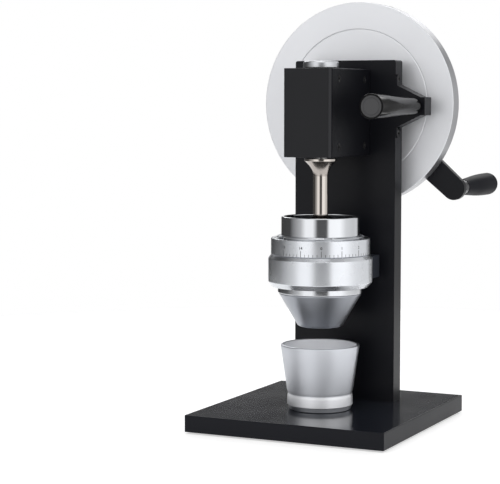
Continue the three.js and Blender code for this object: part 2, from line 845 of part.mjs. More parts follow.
const outletTopRadius = 43.5;
const outletConeRadius = 27.1;
const outletEndRadius = 20;
const outletBoreRadius = 15;
const outletWall = 3;
const outletShoulder = 3.4;
const outletConeDrop = 29.7;
const neckEdge = 0.8;
const outletEndRiseShare = 0.35;
const outletEndRadiusShare = 0.72;

const outletTop = neckBottom - fitGap;
const outletBottom = outletTop - outletHeight;

function neckRing() {
  const inner = outletSpigotRadius + fitGap;
  const top = headBodyBottom - fitGap;
  return turned(
    [
      [inner, neckBottom],
      [neckRadius - neckEdge, neckBottom],
      [neckRadius, neckBottom + neckEdge],
      [neckRadius, top],
      [inner, top],
    ],
    largeSides,
  );
}
piece("neck_ring", neckRing(), polishedSteel(), head);

function outletCone() {
  const coneEnd = outletTop - outletConeDrop;
  const filletRise = (coneEnd - outletBottom) * outletEndRiseShare;
  const filletRadius = outletEndRadius + (outletConeRadius - outletEndRadius) * outletEndRadiusShare;
  const spigotTop = bridgeBottom - runGap;
  return turned(
    [
      [outletBoreRadius, outletBottom],
      [outletEndRadius, outletBottom],
      [filletRadius, outletBottom + filletRise],
      [outletConeRadius, coneEnd],
      [outletTopRadius, outletTop - outletShoulder],
      [outletTopRadius, outletTop],
      [outletSpigotRadius, outletTop],
      [outletSpigotRadius, spigotTop],
      [outletSpigotRadius - outletWall, spigotTop],
      [outletSpigotRadius - outletWall, outletTop - outletShoulder],
      [outletConeRadius - outletWall, coneEnd],
      [outletBoreRadius, outletBottom + filletRise],
    ],
    largeSides,
  );
}
piece("outlet_cone", outletCone(), blastedAluminium(), head);

// Adjuster: the graduated ring that turns on the body's rim. Its upper half is threaded on the
// burr holder, which it screws up or down.

const flangeLift = 1;

function adjusterRing() {
  const rimBore = headRimRadius + runGap;
  const threadBore = holderRadius + runGap;
  const shelf = headRimTop + runGap;
  return turned(
    [
      [rimBore, adjusterBottom],
      [adjusterRadius, adjusterBottom],
      [adjusterRadius, adjusterTop],
      [threadBore, adjusterTop],
      [threadBore, shelf],
      [rimBore, shelf],
      [rimBore, keeperTop + fitGap],
      [rimBore + keeperDepth, keeperTop + fitGap],
      [rimBore + keeperDepth, keeperBottom - fitGap],
      [rimBore, keeperBottom - fitGap],
    ],
    largeSides,
  );
}
piece("adjuster_ring", adjusterRing(), blastedAluminium(), head);

// Burr holder: a threaded sleeve with a notched flange. The guide pin runs in its slot, so it
// slides without turning. The polished collar above it is the mouth for the beans.

const flangeRadius = 46;
const flangeThickness = 1.6;
const flangeNotchCount = 5;
const flangeNotchWidth = 6;
const flangeNotchDepth = 2.2;
const flangeNotchAngle = -62;
const collarInnerRadius = 38;
const collarSpigotRadius = 39.8;
const collarSpigotDepth = 5.5;
const collarRimRadius = 0.9;
const ringBurrRadius = 36;
const ringBurrHeight = 23;
const funnelThickness = 3;
const slotHeight = 8;
const adjusterTravel = 0.7;
const coneBurrSink = 0.9;

const flangeBottom = adjusterTop + flangeLift;
const flangeTop = flangeBottom + flangeThickness;
const collarSeat = flangeTop - collarSpigotDepth;
const ringBurrTop = collarSeat - funnelThickness;
const ringBurrBottom = ringBurrTop - ringBurrHeight;
const holderBottom = holderBoreBottom + adjusterTravel + runGap;
const coneBurrTop = ringBurrTop - coneBurrSink;
const burrThroatRadius = 33;

function burrHolder() {
  const pocket = ringBurrRadius + fitGap;
  const sleeve = turned(
    [
      [pocket, holderBottom],
      [holderRadius, holderBottom],
      [holderRadius, flangeBottom],
      [flangeRadius, flangeBottom],
      [flangeRadius, flangeTop],
      [collarSpigotRadius + fitGap, flangeTop],
      [collarSpigotRadius + fitGap, collarSeat],
      [collarInnerRadius, collarSeat],
      [burrThroatRadius, ringBurrTop + fitGap],
      [pocket, ringBurrTop + fitGap],
    ],
    largeSides,
  );
  const notches = [];
  for (let i = 0; i < flangeNotchCount; i++) {
    const notch = block(
      flangeRadius - flangeNotchDepth,
      flangeRadius + cutOverrun,
      -flangeNotchWidth / 2,
      flangeNotchWidth / 2,
      flangeBottom - cutOverrun,
      flangeTop + cutOverrun,
    );
    notches.push(notch.rotate([0, 0, flangeNotchAngle + (i * 360) / flangeNotchCount]));
  }
  const slotHalf = guidePinRadius + runGap;
  const slot = block(
    -slotHalf,
    slotHalf,
    guidePinInner - runGap,
    holderRadius + cutOverrun,
    guidePinZ - slotHeight / 2,
    guidePinZ + slotHeight / 2,
  );
  return cut(sleeve, slot, ...notches, ...setScrewHoles);
}

function hopperCollar() {
  const top = flangeTop + collarHeight;
  return turned(
    [
      [collarInnerRadius, collarSeat + fitGap],
      [collarSpigotRadius, collarSeat + fitGap],
      [collarSpigotRadius, flangeTop],
      [collarRadius, flangeTop],
      [collarRadius, top - collarRimRadius],
      [collarRadius - collarRimRadius, top],
      [collarInnerRadius + collarRimRadius, top],
      [collarInnerRadius, top - collarRimRadius],
    ],
    largeSides,
  );
}

// Burrs: the toothed ring is held in the holder by three set screws, and the toothed cone is
// held on the drive shaft by a nut. Ribs run down both, leaning with the way they turn.

const setScrewCount = 3;
const setScrewRadius = 2;
const setScrewLength = 6.5;
const setScrewPoint = 0.5;
const setScrewRise = 9;
const burrRibDepth = 2.6;
const burrGap = 1;
const coneBurrRibs = 9;
const ringBurrRibs = 11;
const burrLeanAngle = 50;
const ribSamples = 4;
// Across one rib: the share of the way round, and the share of the rib's depth cut away there
const ribShares = [
  [0, 0],
  [0.12, 0],
  [0.3, 1],
  [0.62, 0.75],
];
const coneBurrHeight = 21.5;
const coneBurrTopRadius = 13;
const coneBurrWaistRadius = 24.5;
const coneBurrSkirtRadius = 27;
const coneBurrSkirt = 5;
const stemRadius = 5;
const firstSetScrewAngle = 60;

const coneBurrBottom = coneBurrTop - coneBurrHeight;
const setScrewZ = ringBurrBottom + setScrewRise;
const setScrewTurn = (i) => firstSetScrewAngle + (i * 360) / setScrewCount;
const setScrewHoles = [];
for (let i = 0; i < setScrewCount; i++) {
  const inner = ringBurrRadius - setScrewPoint;
  const hole = rod(setScrewRadius + fitGap, inner, holderRadius + cutOverrun, screwSides, "x");
  setScrewHoles.push(hole.translate([0, 0, setScrewZ]).rotate([0, 0, setScrewTurn(i)]));
}

// A ribbed plug between heights, capped at both ends. Levels are [height, radius, depth share].
function ribbedPlug(levels, ribs, leanAngle, side) {
  const count = ribs * ribSamples;
  const points = [];
  const lowest = levels[0][0];
  const tall = levels[levels.length - 1][0] - lowest;
  for (const [z, radius, depthShare] of levels) {
    const lean = (THREE.MathUtils.degToRad(leanAngle) * (z - lowest)) / tall;
    for (let i = 0; i < count; i++) {
      const [around, deep] = ribShares[i % ribSamples];
      const angle = ((Math.floor(i / ribSamples) + around) * 2 * Math.PI) / ribs + lean;
      const r = radius - side * deep * depthShare * burrRibDepth;
      points.push([r * Math.cos(angle), r * Math.sin(angle), z]);
    }
  }
  const last = levels.length - 1;
  points.push([0, 0, lowest], [0, 0, levels[last][0]]);
  const faces = [];
  for (let i = 0; i < count; i++) {
    const j = (i + 1) % count;
    faces.push(j, i, levels.length * count);
    for (let level = 0; level < last; level++) {
      const a = level * count;
      const b = a + count;
      faces.push(a + i, a + j, b + i, b + i, a + j, b + j);
    }
    faces.push(last * count + i, last * count + j, levels.length * count + 1);
  }
  const geometry = new THREE.BufferGeometry();
  geometry.setAttribute("position", new THREE.Float32BufferAttribute(points.flat(), 3));
  geometry.setIndex(faces);
  return solid(geometry);
}

const coneSkirtTop = coneBurrBottom + coneBurrSkirt;
const skirtSlope = (coneBurrSkirtRadius - coneBurrWaistRadius) / coneBurrSkirt;

function coneBurr() {
  const middle = (coneSkirtTop + coneBurrTop) / 2;
  const middleRadius = (coneBurrWaistRadius + coneBurrTopRadius) / 2;
  const levels = [
    [coneBurrBottom, coneBurrSkirtRadius, 0.25],
    [coneSkirtTop, coneBurrWaistRadius, 0.35],
    [middle, middleRadius, 1],
    [coneBurrTop, coneBurrTopRadius, 1],
  ];
  const bore = rod(stemRadius + fitGap, coneBurrBottom - cutOverrun, coneBurrTop + cutOverrun, mediumSides);
  return cut(ribbedPlug(levels, coneBurrRibs, burrLeanAngle, 1), bore);
}

// The ring's skirt follows the cone's at an even gap, and it opens above the cone's waist.
function ringBurr() {
  const blank = rod(ringBurrRadius, ringBurrBottom, ringBurrTop, largeSides);
  const waist = coneBurrWaistRadius + burrGap;
  const belowWaist = coneSkirtTop - ringBurrBottom + cutOverrun;
  const throat = burrThroatRadius - burrRibDepth;
  const levels = [
    [ringBurrBottom - cutOverrun, waist + skirtSlope * belowWaist, 0.2],
    [coneSkirtTop, waist, 0.3],
    [(coneSkirtTop + ringBurrTop) / 2, (waist + throat) / 2, 0.9],
    [ringBurrTop, throat, 1],
    [ringBurrTop + cutOverrun, throat, 1],
  ];
  return cut(blank, ribbedPlug(levels, ringBurrRibs, -burrLeanAngle, -1));
}

piece("burr_holder", burrHolder(), brushedAluminium(), head);
piece("hopper_collar", hopperCollar(), polishedSteel(), head);
piece("ring_burr", ringBurr(), plainSteel(), head);
for (let i = 0; i < setScrewCount; i++) {
  const inner = ringBurrRadius + fitGap;
  const screw = rod(setScrewRadius, inner, inner + setScrewLength, screwSides, "x");
  const shape = screw.translate([0, 0, setScrewZ]).rotate([0, 0, setScrewTurn(i)]);
  piece(`burr_set_screw_${i + 1}`, shape, blackSteel(), head);
}
piece("cone_burr", coneBurr(), plainSteel(), head);

// Drive shaft: its hexagon sits in the hollow bevel gear shaft, where the top knob draws it up,
// and it carries the cone burr. The flare under the gearbox covers the bearing.

const flareRadius = 17;
const flareLip = 2.6;
const flareLength = 16;
const flareDrop = 2;
const flareSteps = 6;
const flarePower = 2.1;
const drawRodRadius = 4;
const drawRodReach = 3.6;
const journalRadius = 4;
const driveHexRadius = 5;
const driveHexLength = 8;
const knobLift = 1;
const burrNutHeight = 6;
const burrNutHalf = 8;

const flareTop = housingBottom - flareDrop;
const knobBottom = housingTop + knobLift;
const stemBottom = coneBurrBottom - burrNutHeight - fitGap;
const drawRodTop = knobBottom + drawRodReach;

function driveShaft() {
  const flare = [];
  for (let i = 0; i <= flareSteps; i++) {
    const down = i / flareSteps;
    const radius = shaftRadius + (flareRadius - shaftRadius) * (1 - down) ** flarePower;
    flare.push([radius, flareTop - flareLip - down * flareLength]);
  }
  const hex = rod(driveHexRadius, flareTop - flareLip, flareTop + driveHexLength, 6);
  const shaft = turned(
    [
      [0, drawRodTop],
      [drawRodRadius, drawRodTop],
      [drawRodRadius, flareTop],
      [flareRadius, flareTop],
      ...flare,
      [shaftRadius, coneBurrTop + fitGap],
      [stemRadius, coneBurrTop + fitGap],
      [stemRadius, stemBottom],
      [journalRadius, stemBottom],
      [journalRadius, burrBearingZ],
      [0, burrBearingZ],
    ],
    mediumSides,
  );
  return union(shaft, hex);
}
piece("drive_shaft", driveShaft(), polishedSteel(), head);

const burrNutTop = coneBurrBottom - fitGap;
const burrNutBlank = rod(burrNutHalf * hexCornerShare, burrNutTop - burrNutHeight, burrNutTop, 6);
const burrNutBore = rod(
  stemRadius + threadGap,
  burrNutTop - burrNutHeight - cutOverrun,
  burrNutTop + cutOverrun,
  mediumSides,
);
piece("burr_nut", cut(burrNutBlank, burrNutBore), plainSteel(), head);

// The hollow shaft and its bevel gear are one piece. A gap between two teeth faces the axle gear.

function spindleGear() {
  const shaft = rod(smallBearing.bore, flareTop + fitGap, knobBottom - fitGap, mediumSides);
  const shoulder = lowerBearingZ + smallBearing.width + fitGap;
  const spacer = rod(smallBearing.bore + bearingLip, shoulder, axleHeight - gearPitchRadius, mediumSides);
  const halfTooth = Math.PI / gearTeeth;
  const gear = bevelGear(Math.PI / 2 + halfTooth).translate([0, 0, axleHeight]);
  const bore = rod(drawRodRadius + threadGap, flareTop - cutOverrun, knobBottom + cutOverrun, smallSides);
  const hexTop = flareTop + driveHexLength + threadGap;
  const hexBore = rod(driveHexRadius + threadGap, flareTop - cutOverrun, hexTop, 6);
  return cut(union(gear, shaft, spacer), bore, hexBore);
}
piece("spindle_bevel_gear", spindleGear(), plainSteel(), head);

const knobRadius = 18.6;
const knobBand = 4.6;
const knobHeight = 7;
const knobTopRadius = 13.5;
const knobShoulderShare = 0.7;

function topKnob() {
  const top = knobBottom + knobHeight;
  const bore = drawRodRadius + threadGap;
  const boreTop = drawRodTop + threadGap;
  const shoulderRadius = knobTopRadius + (knobRadius - knobTopRadius) * knobShoulderShare;
  const shoulderHeight = knobBand + (knobHeight - knobBand) * knobShoulderShare;
  return turned(
    [
      [0, boreTop],
      [bore, boreTop],
      [bore, knobBottom],
      [knobRadius, knobBottom],
      [knobRadius, knobBottom + knobBand],
      [shoulderRadius, knobBottom + shoulderHeight],
      [knobTopRadius, top],
      [0, top],
    ],
    mediumSides,
  );
}
piece("top_knob", topKnob(), brushedAluminium(), head);

// Axle: it carries the bevel gear at its front end and the flywheel and crank at its back end.

const axleRadius = axleBearing.bore;
const axleCollarRadius = 12;
const wheelSeatRadius = 8;
const axleThreadRadius = 6;
const axleThreadLength = 12;
const crankArmThickness = 8;
const keyHalf = 2.5;
const keyInner = 5.6;
const keyOuter = 10.6;
const keyInset = 1.5;
const gearPinRadius = 1.6;
const gearPinInset = 4.5;

const axleGearBack = spindleY + gearPitchRadius + gearDedendum / Math.SQRT2 + gearHubLength;
const axleFront = spindleY + gearPitchRadius - gearFace / Math.SQRT2 + gearDedendum;
const crankArmBack = flywheelBack + crankArmThickness;
const keyFront = flywheelFront + keyInset;
const keyBack = crankArmBack - keyInset;
const gearPinY = axleGearBack - gearPinInset;

function keyBlock(gap) {
  return block(keyInner - gap, keyOuter + gap, keyFront - gap, keyBack + gap, -keyHalf - gap, keyHalf + gap);
}

// A rod across the gear's hub: the pin itself, or the hole for it.
function gearPinRod(radius, reach) {
  return rod(radius, -reach, reach, screwSides, "x").translate([0, gearPinY, 0]);
}
const gearPinHole = gearPinRod(gearPinRadius + fitGap, gearHubRadius + cutOverrun);

function axle() {
  const threadStart = crankArmBack - runGap;
  const shaft = turned(
    [
      [0, axleFront],
      [axleRadius, axleFront],
      [axleRadius, columnBack + runGap],
      [axleCollarRadius, columnBack + runGap],
      [axleCollarRadius, flywheelFront],
      [wheelSeatRadius, flywheelFront],
      [wheelSeatRadius, threadStart],
      [axleThreadRadius, threadStart],
      [axleThreadRadius, crankArmBack + axleThreadLength],
      [0, crankArmBack + axleThreadLength],
    ],
    mediumSides,
    "y",
  );
  return cut(shaft, keyBlock(fitGap), gearPinHole);
}
piece("axle", axle(), plainSteel(), wheel);

// A tooth of the axle's gear points down at rest, into the gap of the spindle's gear.
function axleGear() {
  const toothAngle = THREE.MathUtils.degToRad(crankDropAngle - 90);
  const gear = bevelGear(toothAngle).rotate([90, 0, 0]).translate([0, spindleY, 0]);
  const bore = rod(axleRadius + fitGap, spindleY, axleGearBack + cutOverrun, mediumSides, "y");
  return cut(gear, bore, gearPinHole);
}
piece("axle_bevel_gear", axleGear(), plainSteel(), wheel);
piece("axle_gear_pin", gearPinRod(gearPinRadius, gearHubRadius - fitGap), plainSteel(), wheel);
piece("wheel_key", keyBlock(0), plainSteel(), wheel);

// Flywheel: a solid disc with a fine turned groove on its front face.

const flywheelChamfer = 1;
const grooveRadiusShare = 0.735;
const grooveWidth = 1.4;
const grooveDepth = 0.6;
const crankScrewSpots = [34, 62];
const crankScrewLength = 18;

const crankScrewHoles = crankScrewSpots.map((x) => {
  const hole = capScrewHole(screwSizes.m5, crankScrewLength, cutOverrun);
  return placed(hole, headsBack, x, crankArmBack, 0);
});

function flywheel() {
  const groove = flywheelRadius * grooveRadiusShare;
  const bore = wheelSeatRadius + fitGap;
  const disc = turned(
    [
      [bore, flywheelFront],
      [groove - grooveWidth / 2, flywheelFront],
      [groove, flywheelFront + grooveDepth],
      [groove + grooveWidth / 2, flywheelFront],
      [flywheelRadius - flywheelChamfer, flywheelFront],
      [flywheelRadius, flywheelFront + flywheelChamfer],
      [flywheelRadius, flywheelBack - flywheelChamfer],
      [flywheelRadius - flywheelChamfer, flywheelBack],
      [bore, flywheelBack],
    ],
    wheelSides,
    "y",
  );
  return cut(disc, keyBlock(fitGap), ...crankScrewHoles);
}
piece("flywheel", flywheel(), brushedAluminium(), wheel);

// Crank: a flat arm on the back of the flywheel, from the axle to past the rim, and its grip.

const armHubRadius = 16.5;
const armTipRadius = 12.8;
const gripPinRadius = 4.5;
const gripPinCollarRadius = 7;
const gripPinCollarLength = 12.5;
const gripPinThreadRadius = 4;
const ferruleRadius = 8.3;
const ferruleLength = 10.5;
const ferruleSpigotRadius = 6.5;
const ferruleSpigotLength = 6;
const crankGripLength = 96.7;
const crankGripRadius = 12.6;
const crankGripRootRadius = 8.6;
const pinSnapRadius = 5.3;
const pinSnapLength = 3;
const pinReachShare = 0.72;

// The outline of the arm seen along Y: two round ends of different size joined by tangents.
function crankArmShape() {
  const lean = Math.acos((armHubRadius - armTipRadius) / crankRadius);
  const shape = new THREE.Shape();
  shape.absarc(0, 0, armHubRadius, lean, 2 * Math.PI - lean);
  shape.absarc(crankRadius, 0, armTipRadius, -lean, lean);
  return shape;
}

function crankArm() {
  const bar = solid(standingPlate(crankArmShape(), crankArmThickness, flywheelBack, 0, 9));
  const front = flywheelBack - cutOverrun;
  const back = crankArmBack + cutOverrun;
  const axleBore = rod(wheelSeatRadius + fitGap, front, back, mediumSides, "y");
  const pinBore = rod(gripPinThreadRadius + fitGap, front, back, smallSides, "y");
  const tipBore = pinBore.translate([crankRadius, 0, 0]);
  return cut(bar, axleBore, tipBore, keyBlock(fitGap), ...crankScrewHoles);
}
piece("crank_arm", crankArm(), blackAnodised(), wheel);

crankScrewSpots.forEach((x, i) => {
  const shape = capScrew(screwSizes.m5, crankScrewLength);
  const screw = piece(`crank_screw_${i + 1}`, shape, blackSteel(), wheel);
  placeMesh(screw, headsBack, x, crankArmBack, 0);
});

const axleNutFlangeRadius = 13;
const axleNutFlange = 2.6;
const axleNutHeight = 10;
const axleNutHalf = 9.5;

function axleNut() {
  const top = crankArmBack + axleNutHeight;
  const flange = rod(axleNutFlangeRadius, crankArmBack, crankArmBack + axleNutFlange, mediumSides, "y");
  const hex = rod(axleNutHalf * hexCornerShare, crankArmBack, top, 6, "y");
  const boreRadius = axleThreadRadius + threadGap;
  const bore = rod(boreRadius, crankArmBack - cutOverrun, top + cutOverrun, mediumSides, "y");
  return cut(union(flange, hex), bore);
}
piece("axle_nut", axleNut(), plainSteel(), wheel);

const pinCollarBack = crankArmBack + gripPinCollarLength;
const ferruleFront = pinCollarBack + runGap;
const ferruleBack = ferruleFront + ferruleLength;
const gripFront = ferruleBack;
const gripBack = gripFront + crankGripLength;
const pinEnd = gripFront + pinReachShare * crankGripLength;

function gripPin() {
  const snapFront = pinEnd - pinSnapLength;
  return turned(
    [
      [0, flywheelBack + runGap],
      [gripPinThreadRadius, flywheelBack + runGap],
      [gripPinThreadRadius, crankArmBack],
      [gripPinCollarRadius, crankArmBack],
      [gripPinCollarRadius, pinCollarBack],
      [gripPinRadius, pinCollarBack],
      [gripPinRadius, snapFront],
      [pinSnapRadius, snapFront],
      [gripPinRadius, pinEnd],
      [0, pinEnd],
    ],
    smallSides,
    "y",
  );
}
piece("grip_pin", gripPin(), plainSteel(), crankEnd);

function gripFerrule() {
  const bore = gripPinRadius + runGap;
  const spigotBack = ferruleBack + ferruleSpigotLength;
  return turned(
    [
      [bore, ferruleFront],
      [ferruleRadius, ferruleFront],
      [ferruleRadius, ferruleBack],
      [ferruleSpigotRadius, ferruleBack],
      [ferruleSpigotRadius, spigotBack],
      [bore, spigotBack],
    ],
    mediumSides,
    "y",
  );
}
piece("grip_ferrule", gripFerrule(), plainSteel(), crankEnd);

// Shares of the grip's length from the ferrule, each with the share of its swell there
const crankGripShares = [
  [0.04, 0.1],
  [0.28, 0.45],
  [0.46, 0.75],
  [0.65, 0.92],
  [0.84, 1],
  [0.907, 1],
];
// Round end: shares of the end's length, each with the share of the full radius there
const crankGripEndShares = [
  [0.5, 0.866],
  [0.85, 0.527],
];

function crankGrip() {
  const along = (share) => gripFront + share * crankGripLength;
  const endStart = along(crankGripShares[crankGripShares.length - 1][0]);
  const radiusAt = (swell) => crankGripRootRadius + swell * (crankGripRadius - crankGripRootRadius);
  const bore = gripPinRadius + runGap;
  const snapBore = pinSnapRadius + runGap;
  const snapFront = pinEnd - pinSnapLength - runGap;
  const boreEnd = pinEnd + runGap;
  const spigotBack = gripFront + ferruleSpigotLength + fitGap;
  return turned(
    [
      [0, boreEnd],
      [snapBore, boreEnd],
      [snapBore, snapFront],
      [bore, snapFront],
      [bore, spigotBack],
      [ferruleSpigotRadius + fitGap, spigotBack],
      [ferruleSpigotRadius + fitGap, gripFront],
      [crankGripRootRadius, gripFront],
      ...crankGripShares.map(([share, swell]) => [radiusAt(swell), along(share)]),
      ...crankGripEndShares.map(([share, radius]) => [
        radius * crankGripRadius,
        endStart + share * (gripBack - endStart),
      ]),
      [0, gripBack],
    ],
    mediumSides,
    "y",
  );
}
piece("crank_grip", crankGrip(), blackPlastic(), crankEnd);

// Cup: a plain tapered cup with a turned band at its foot, standing under the outlet.

const cupBandRadius = 34.6;
const cupFootRadius = 33;
const cupFootRise = 5.2;
const cupBandHeight = 17.4;
const cupWall = 3;
const cupFloor = 4.5;
const cupRimEdge = 0.6;
const cupInnerFillet = 5;

function cup() {
  const bottom = baseTop + threadGap;
  const top = bottom + cupHeight;
  const bandTop = bottom + cupBandHeight;
  const innerFoot = cupBandRadius - cupWall;
  return turned(
    [
      [0, bottom],
      [cupFootRadius, bottom],
      [cupBandRadius, bottom + cupFootRise],
      [cupBandRadius, bandTop],
      [cupRimRadius, top - cupRimEdge],
      [cupRimRadius - cupRimEdge, top],
      [cupRimRadius - cupWall + cupRimEdge, top],
      [cupRimRadius - cupWall, top - cupRimEdge],
      [innerFoot, bandTop],
      [innerFoot, bottom + cupFloor + cupInnerFillet],
      [innerFoot - cupInnerFillet, bottom + cupFloor],
      [0, bottom + cupFloor],
    ],
    largeSides,
  );
}
piece("cup", cup(), blastedAluminium(), head);

export default grinder;
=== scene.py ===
import math
import bpy
from mathutils import Matrix, Vector


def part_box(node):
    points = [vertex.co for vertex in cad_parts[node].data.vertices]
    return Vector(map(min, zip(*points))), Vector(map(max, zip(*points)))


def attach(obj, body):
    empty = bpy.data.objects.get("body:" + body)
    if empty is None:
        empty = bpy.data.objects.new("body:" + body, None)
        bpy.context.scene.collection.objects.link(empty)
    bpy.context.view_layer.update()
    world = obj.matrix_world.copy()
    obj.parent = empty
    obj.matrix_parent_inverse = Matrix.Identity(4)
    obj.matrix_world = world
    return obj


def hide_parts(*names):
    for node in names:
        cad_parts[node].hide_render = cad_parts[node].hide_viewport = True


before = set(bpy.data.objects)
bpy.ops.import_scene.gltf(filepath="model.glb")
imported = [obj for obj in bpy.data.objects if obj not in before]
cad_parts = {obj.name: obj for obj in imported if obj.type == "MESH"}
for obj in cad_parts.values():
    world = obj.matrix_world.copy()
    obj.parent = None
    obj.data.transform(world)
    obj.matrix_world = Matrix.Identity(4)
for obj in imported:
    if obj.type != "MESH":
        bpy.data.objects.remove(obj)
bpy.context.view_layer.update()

# Base plate: a thick flat plate of black anodised aluminium, its edges just broken, on a thin
# rubber sheet that keeps it from sliding. The column is screwed to it from below.

MM = 0.001
BASE_EDGE = 0.9


def alone(piece):
    bpy.ops.object.select_all(action="DESELECT")
    piece.select_set(True)
    bpy.context.view_layer.objects.active = piece


def apply_modifier(piece, kind, **settings):
    modifier = piece.modifiers.new("shape", kind)
    for setting, value in settings.items():
        setattr(modifier, setting, value)
    alone(piece)
    bpy.ops.object.modifier_apply(modifier=modifier.name)


def block(name, low, high):
    low, high = Vector(low), Vector(high)
    bpy.ops.object.select_all(action="DESELECT")
    bpy.ops.mesh.primitive_cube_add(size=1, location=(low + high) / 2)
    piece = bpy.context.object
    piece.name = name
    piece.scale = high - low
    bpy.ops.object.transform_apply(location=True, rotation=True, scale=True)
    return piece


def smooth_flats(piece, angle=38):
    alone(piece)
    bpy.ops.object.shade_smooth_by_angle(angle=math.radians(angle))
    apply_modifier(piece, "WEIGHTED_NORMAL", keep_sharp=True)


def soften_edges(piece, width, segments=3):
    apply_modifier(
        piece, "BEVEL", width=width * MM, segments=segments,
        limit_method="ANGLE", angle_limit=math.radians(30),
    )
    smooth_flats(piece)


def add_node(material, kind, inputs=None, **settings):
    made = material.node_tree.nodes.new(kind)
    for setting, value in settings.items():
        setattr(made, setting, value)
    for socket, value in (inputs or {}).items():
        if isinstance(value, bpy.types.NodeSocket):
            material.node_tree.links.new(value, made.inputs[socket])
        else:
            made.inputs[socket].default_value = value
    return made


def finish_of(name, colour, roughness, metallic):
    material = bpy.data.materials.new(name)
    material.use_nodes = True
    shader = material.node_tree.nodes["Principled BSDF"]
    shader.inputs["Base Color"].default_value = (*colour, 1)
    shader.inputs["Roughness"].default_value = roughness
    shader.inputs["Metallic"].default_value = metallic
    return material, shader


def grain(material, shader, size, height, stretch=(1, 1, 1), strength=1.0, detail=3):
    # size and height are in millimetres; stretch lengthens the grain along an axis
    place = add_node(material, "ShaderNodeTexCoord")
    spread = add_node(material, "ShaderNodeMapping", {
        "Vector": place.outputs["Object"],
        "Scale": [1 / (size * MM * along) for along in stretch],
    })
    specks = add_node(material, "ShaderNodeTexNoise", {
        "Vector": spread.outputs["Vector"], "Scale": 1.0, "Detail": detail, "Roughness": 0.6,
    })
    bump = add_node(material, "ShaderNodeBump", {
        "Height": specks.outputs["Fac"], "Strength": strength, "Distance": height * MM,
    })
    material.node_tree.links.new(bump.outputs["Normal"], shader.inputs["Normal"])
    return place


def uneven(material, place, socket, size, low, high):
    # lets a shader value wander between low and high in soft patches of the size given
    patches = add_node(material, "ShaderNodeTexNoise", {
        "Vector": place.outputs["Object"], "Scale": 1 / (size * MM), "Detail": 2,
    })
    span = add_node(material, "ShaderNodeMapRange", {
        "Value": patches.outputs["Fac"], "From Min": 0.3, "From Max": 0.7,
        "To Min": low, "To Max": high,
    })
    material.node_tree.links.new(span.outputs["Result"], socket)


def surface(name, colour, metallic, rough, specks, patch, **texture):
    # rough is the roughness, then how low and how high it wanders in patches of the size given;
    # specks is the size and the height of the fine grain
    material, shader = finish_of(name, colour, rough[0], metallic)
    place = grain(material, shader, *specks, **texture)
    uneven(material, place, shader.inputs["Roughness"], patch, *rough[1:])
    return material, shader


def install(piece, material, body, slot, *nodes):
    piece.data.materials.clear()
    piece.data.materials.append(material)
    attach(piece, body)
    if nodes:
        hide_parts(*nodes)


def refinish(piece, material, chosen):
    # gives a finish of their own to the faces that chosen picks out
    piece.data.materials.append(material)
    for face in piece.data.polygons:
        if chosen(face):
            face.material_index = len(piece.data.materials) - 1


def dress(material, *nodes):
    for node in nodes:
        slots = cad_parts[node].material_slots
        if not slots:
            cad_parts[node].data.materials.append(material)
        for each in slots:
            each.material = material


rubber, rubber_shader = finish_of("rubber sheet", (0.02, 0.02, 0.021), 0.85, 0)
grain(rubber, rubber_shader, 0.6, 0.05)
dress(rubber, "base_pad")


def anodised(name, colour, roughness, specular, wander=0.03):
    rough = (roughness, roughness - wander, roughness + wander)
    material, shader = surface(name, colour, 0, rough, (0.35, 0.006), 45, strength=0.7)
    shader.inputs["Specular IOR Level"].default_value = specular
    return material


# The edges and the top get two copies of the black finish, coloured apart by face direction to the
# brightness each face shows: painted light and shade. The top is also polished and glossier.
base_edge_painted_light = anodised("black anodised base edge", (0.014, 0.0147, 0.0185), 0.3, 0.08)
base_top_polish_painted_light = anodised("polished black base top", (0.014, 0.016, 0.022), 0.13, 0.5, 0.02)
base_plate = block("base_slab", *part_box("base_plate"))
soften_edges(base_plate, BASE_EDGE)
install(base_plate, base_edge_painted_light, "frame", "black_anodised", "base_plate")
refinish(base_plate, base_top_polish_painted_light, lambda face: face.normal.z > 0.99)

# Column: a flat bar of the same black metal with slightly rounded top corners. Its back holds the
# sunk heads of the bolts for the gearbox and the carrier arm, and the axle's rear ball bearing.

AXLE_Z = 342.1
SPINDLE_Y = -21.8
COLUMN_FRONT = 43.5
COLUMN_BACK = 63.5
TOP_CORNER = 2.5
AXLE_BORE = 9.5
REAR_BEARING_BORE = 17.65
REAR_BEARING_SEAT = 52.5
BOLT_SEAT = 57.3
BOLT_HEAD_HOLE = 5.3
BOLT_HOLE = 3.3
BEFORE_COLUMN = 42
BEHIND_COLUMN = 65
CLOSE = 0.1
gearbox_bolt_places = [(x, z) for x in (-16, 16) for z in (297, 369)]
carrier_bolt_places = [(x, 167.7) for x in (-25, 25)]
AXIS_TURNS = {
    "X": Matrix.Rotation(math.pi / 2, 4, "Y"),
    "Y": Matrix.Rotation(-math.pi / 2, 4, "X"),
    "Z": Matrix.Identity(4),
}


def rod(name, radius, start, end, centre, axis="Z", sides=48):
    # centre holds the two places across the axis, in the order X, Y, Z
    bpy.ops.object.select_all(action="DESELECT")
    bpy.ops.mesh.primitive_cylinder_add(
        vertices=sides, radius=radius * MM, depth=(end - start) * MM,
    )
    piece = bpy.context.object
    piece.name = name
    along = (start + end) / 2
    spot = {
        "X": (along, *centre), "Y": (centre[0], along, centre[1]), "Z": (*centre, along),
    }[axis]
    piece.data.transform(Matrix.Translation(Vector(spot) * MM) @ AXIS_TURNS[axis])
    return piece


def combine(piece, operation, *others):
    for other in others:
        apply_modifier(piece, "BOOLEAN", operation=operation, object=other, solver="EXACT")
        bpy.data.objects.remove(other)


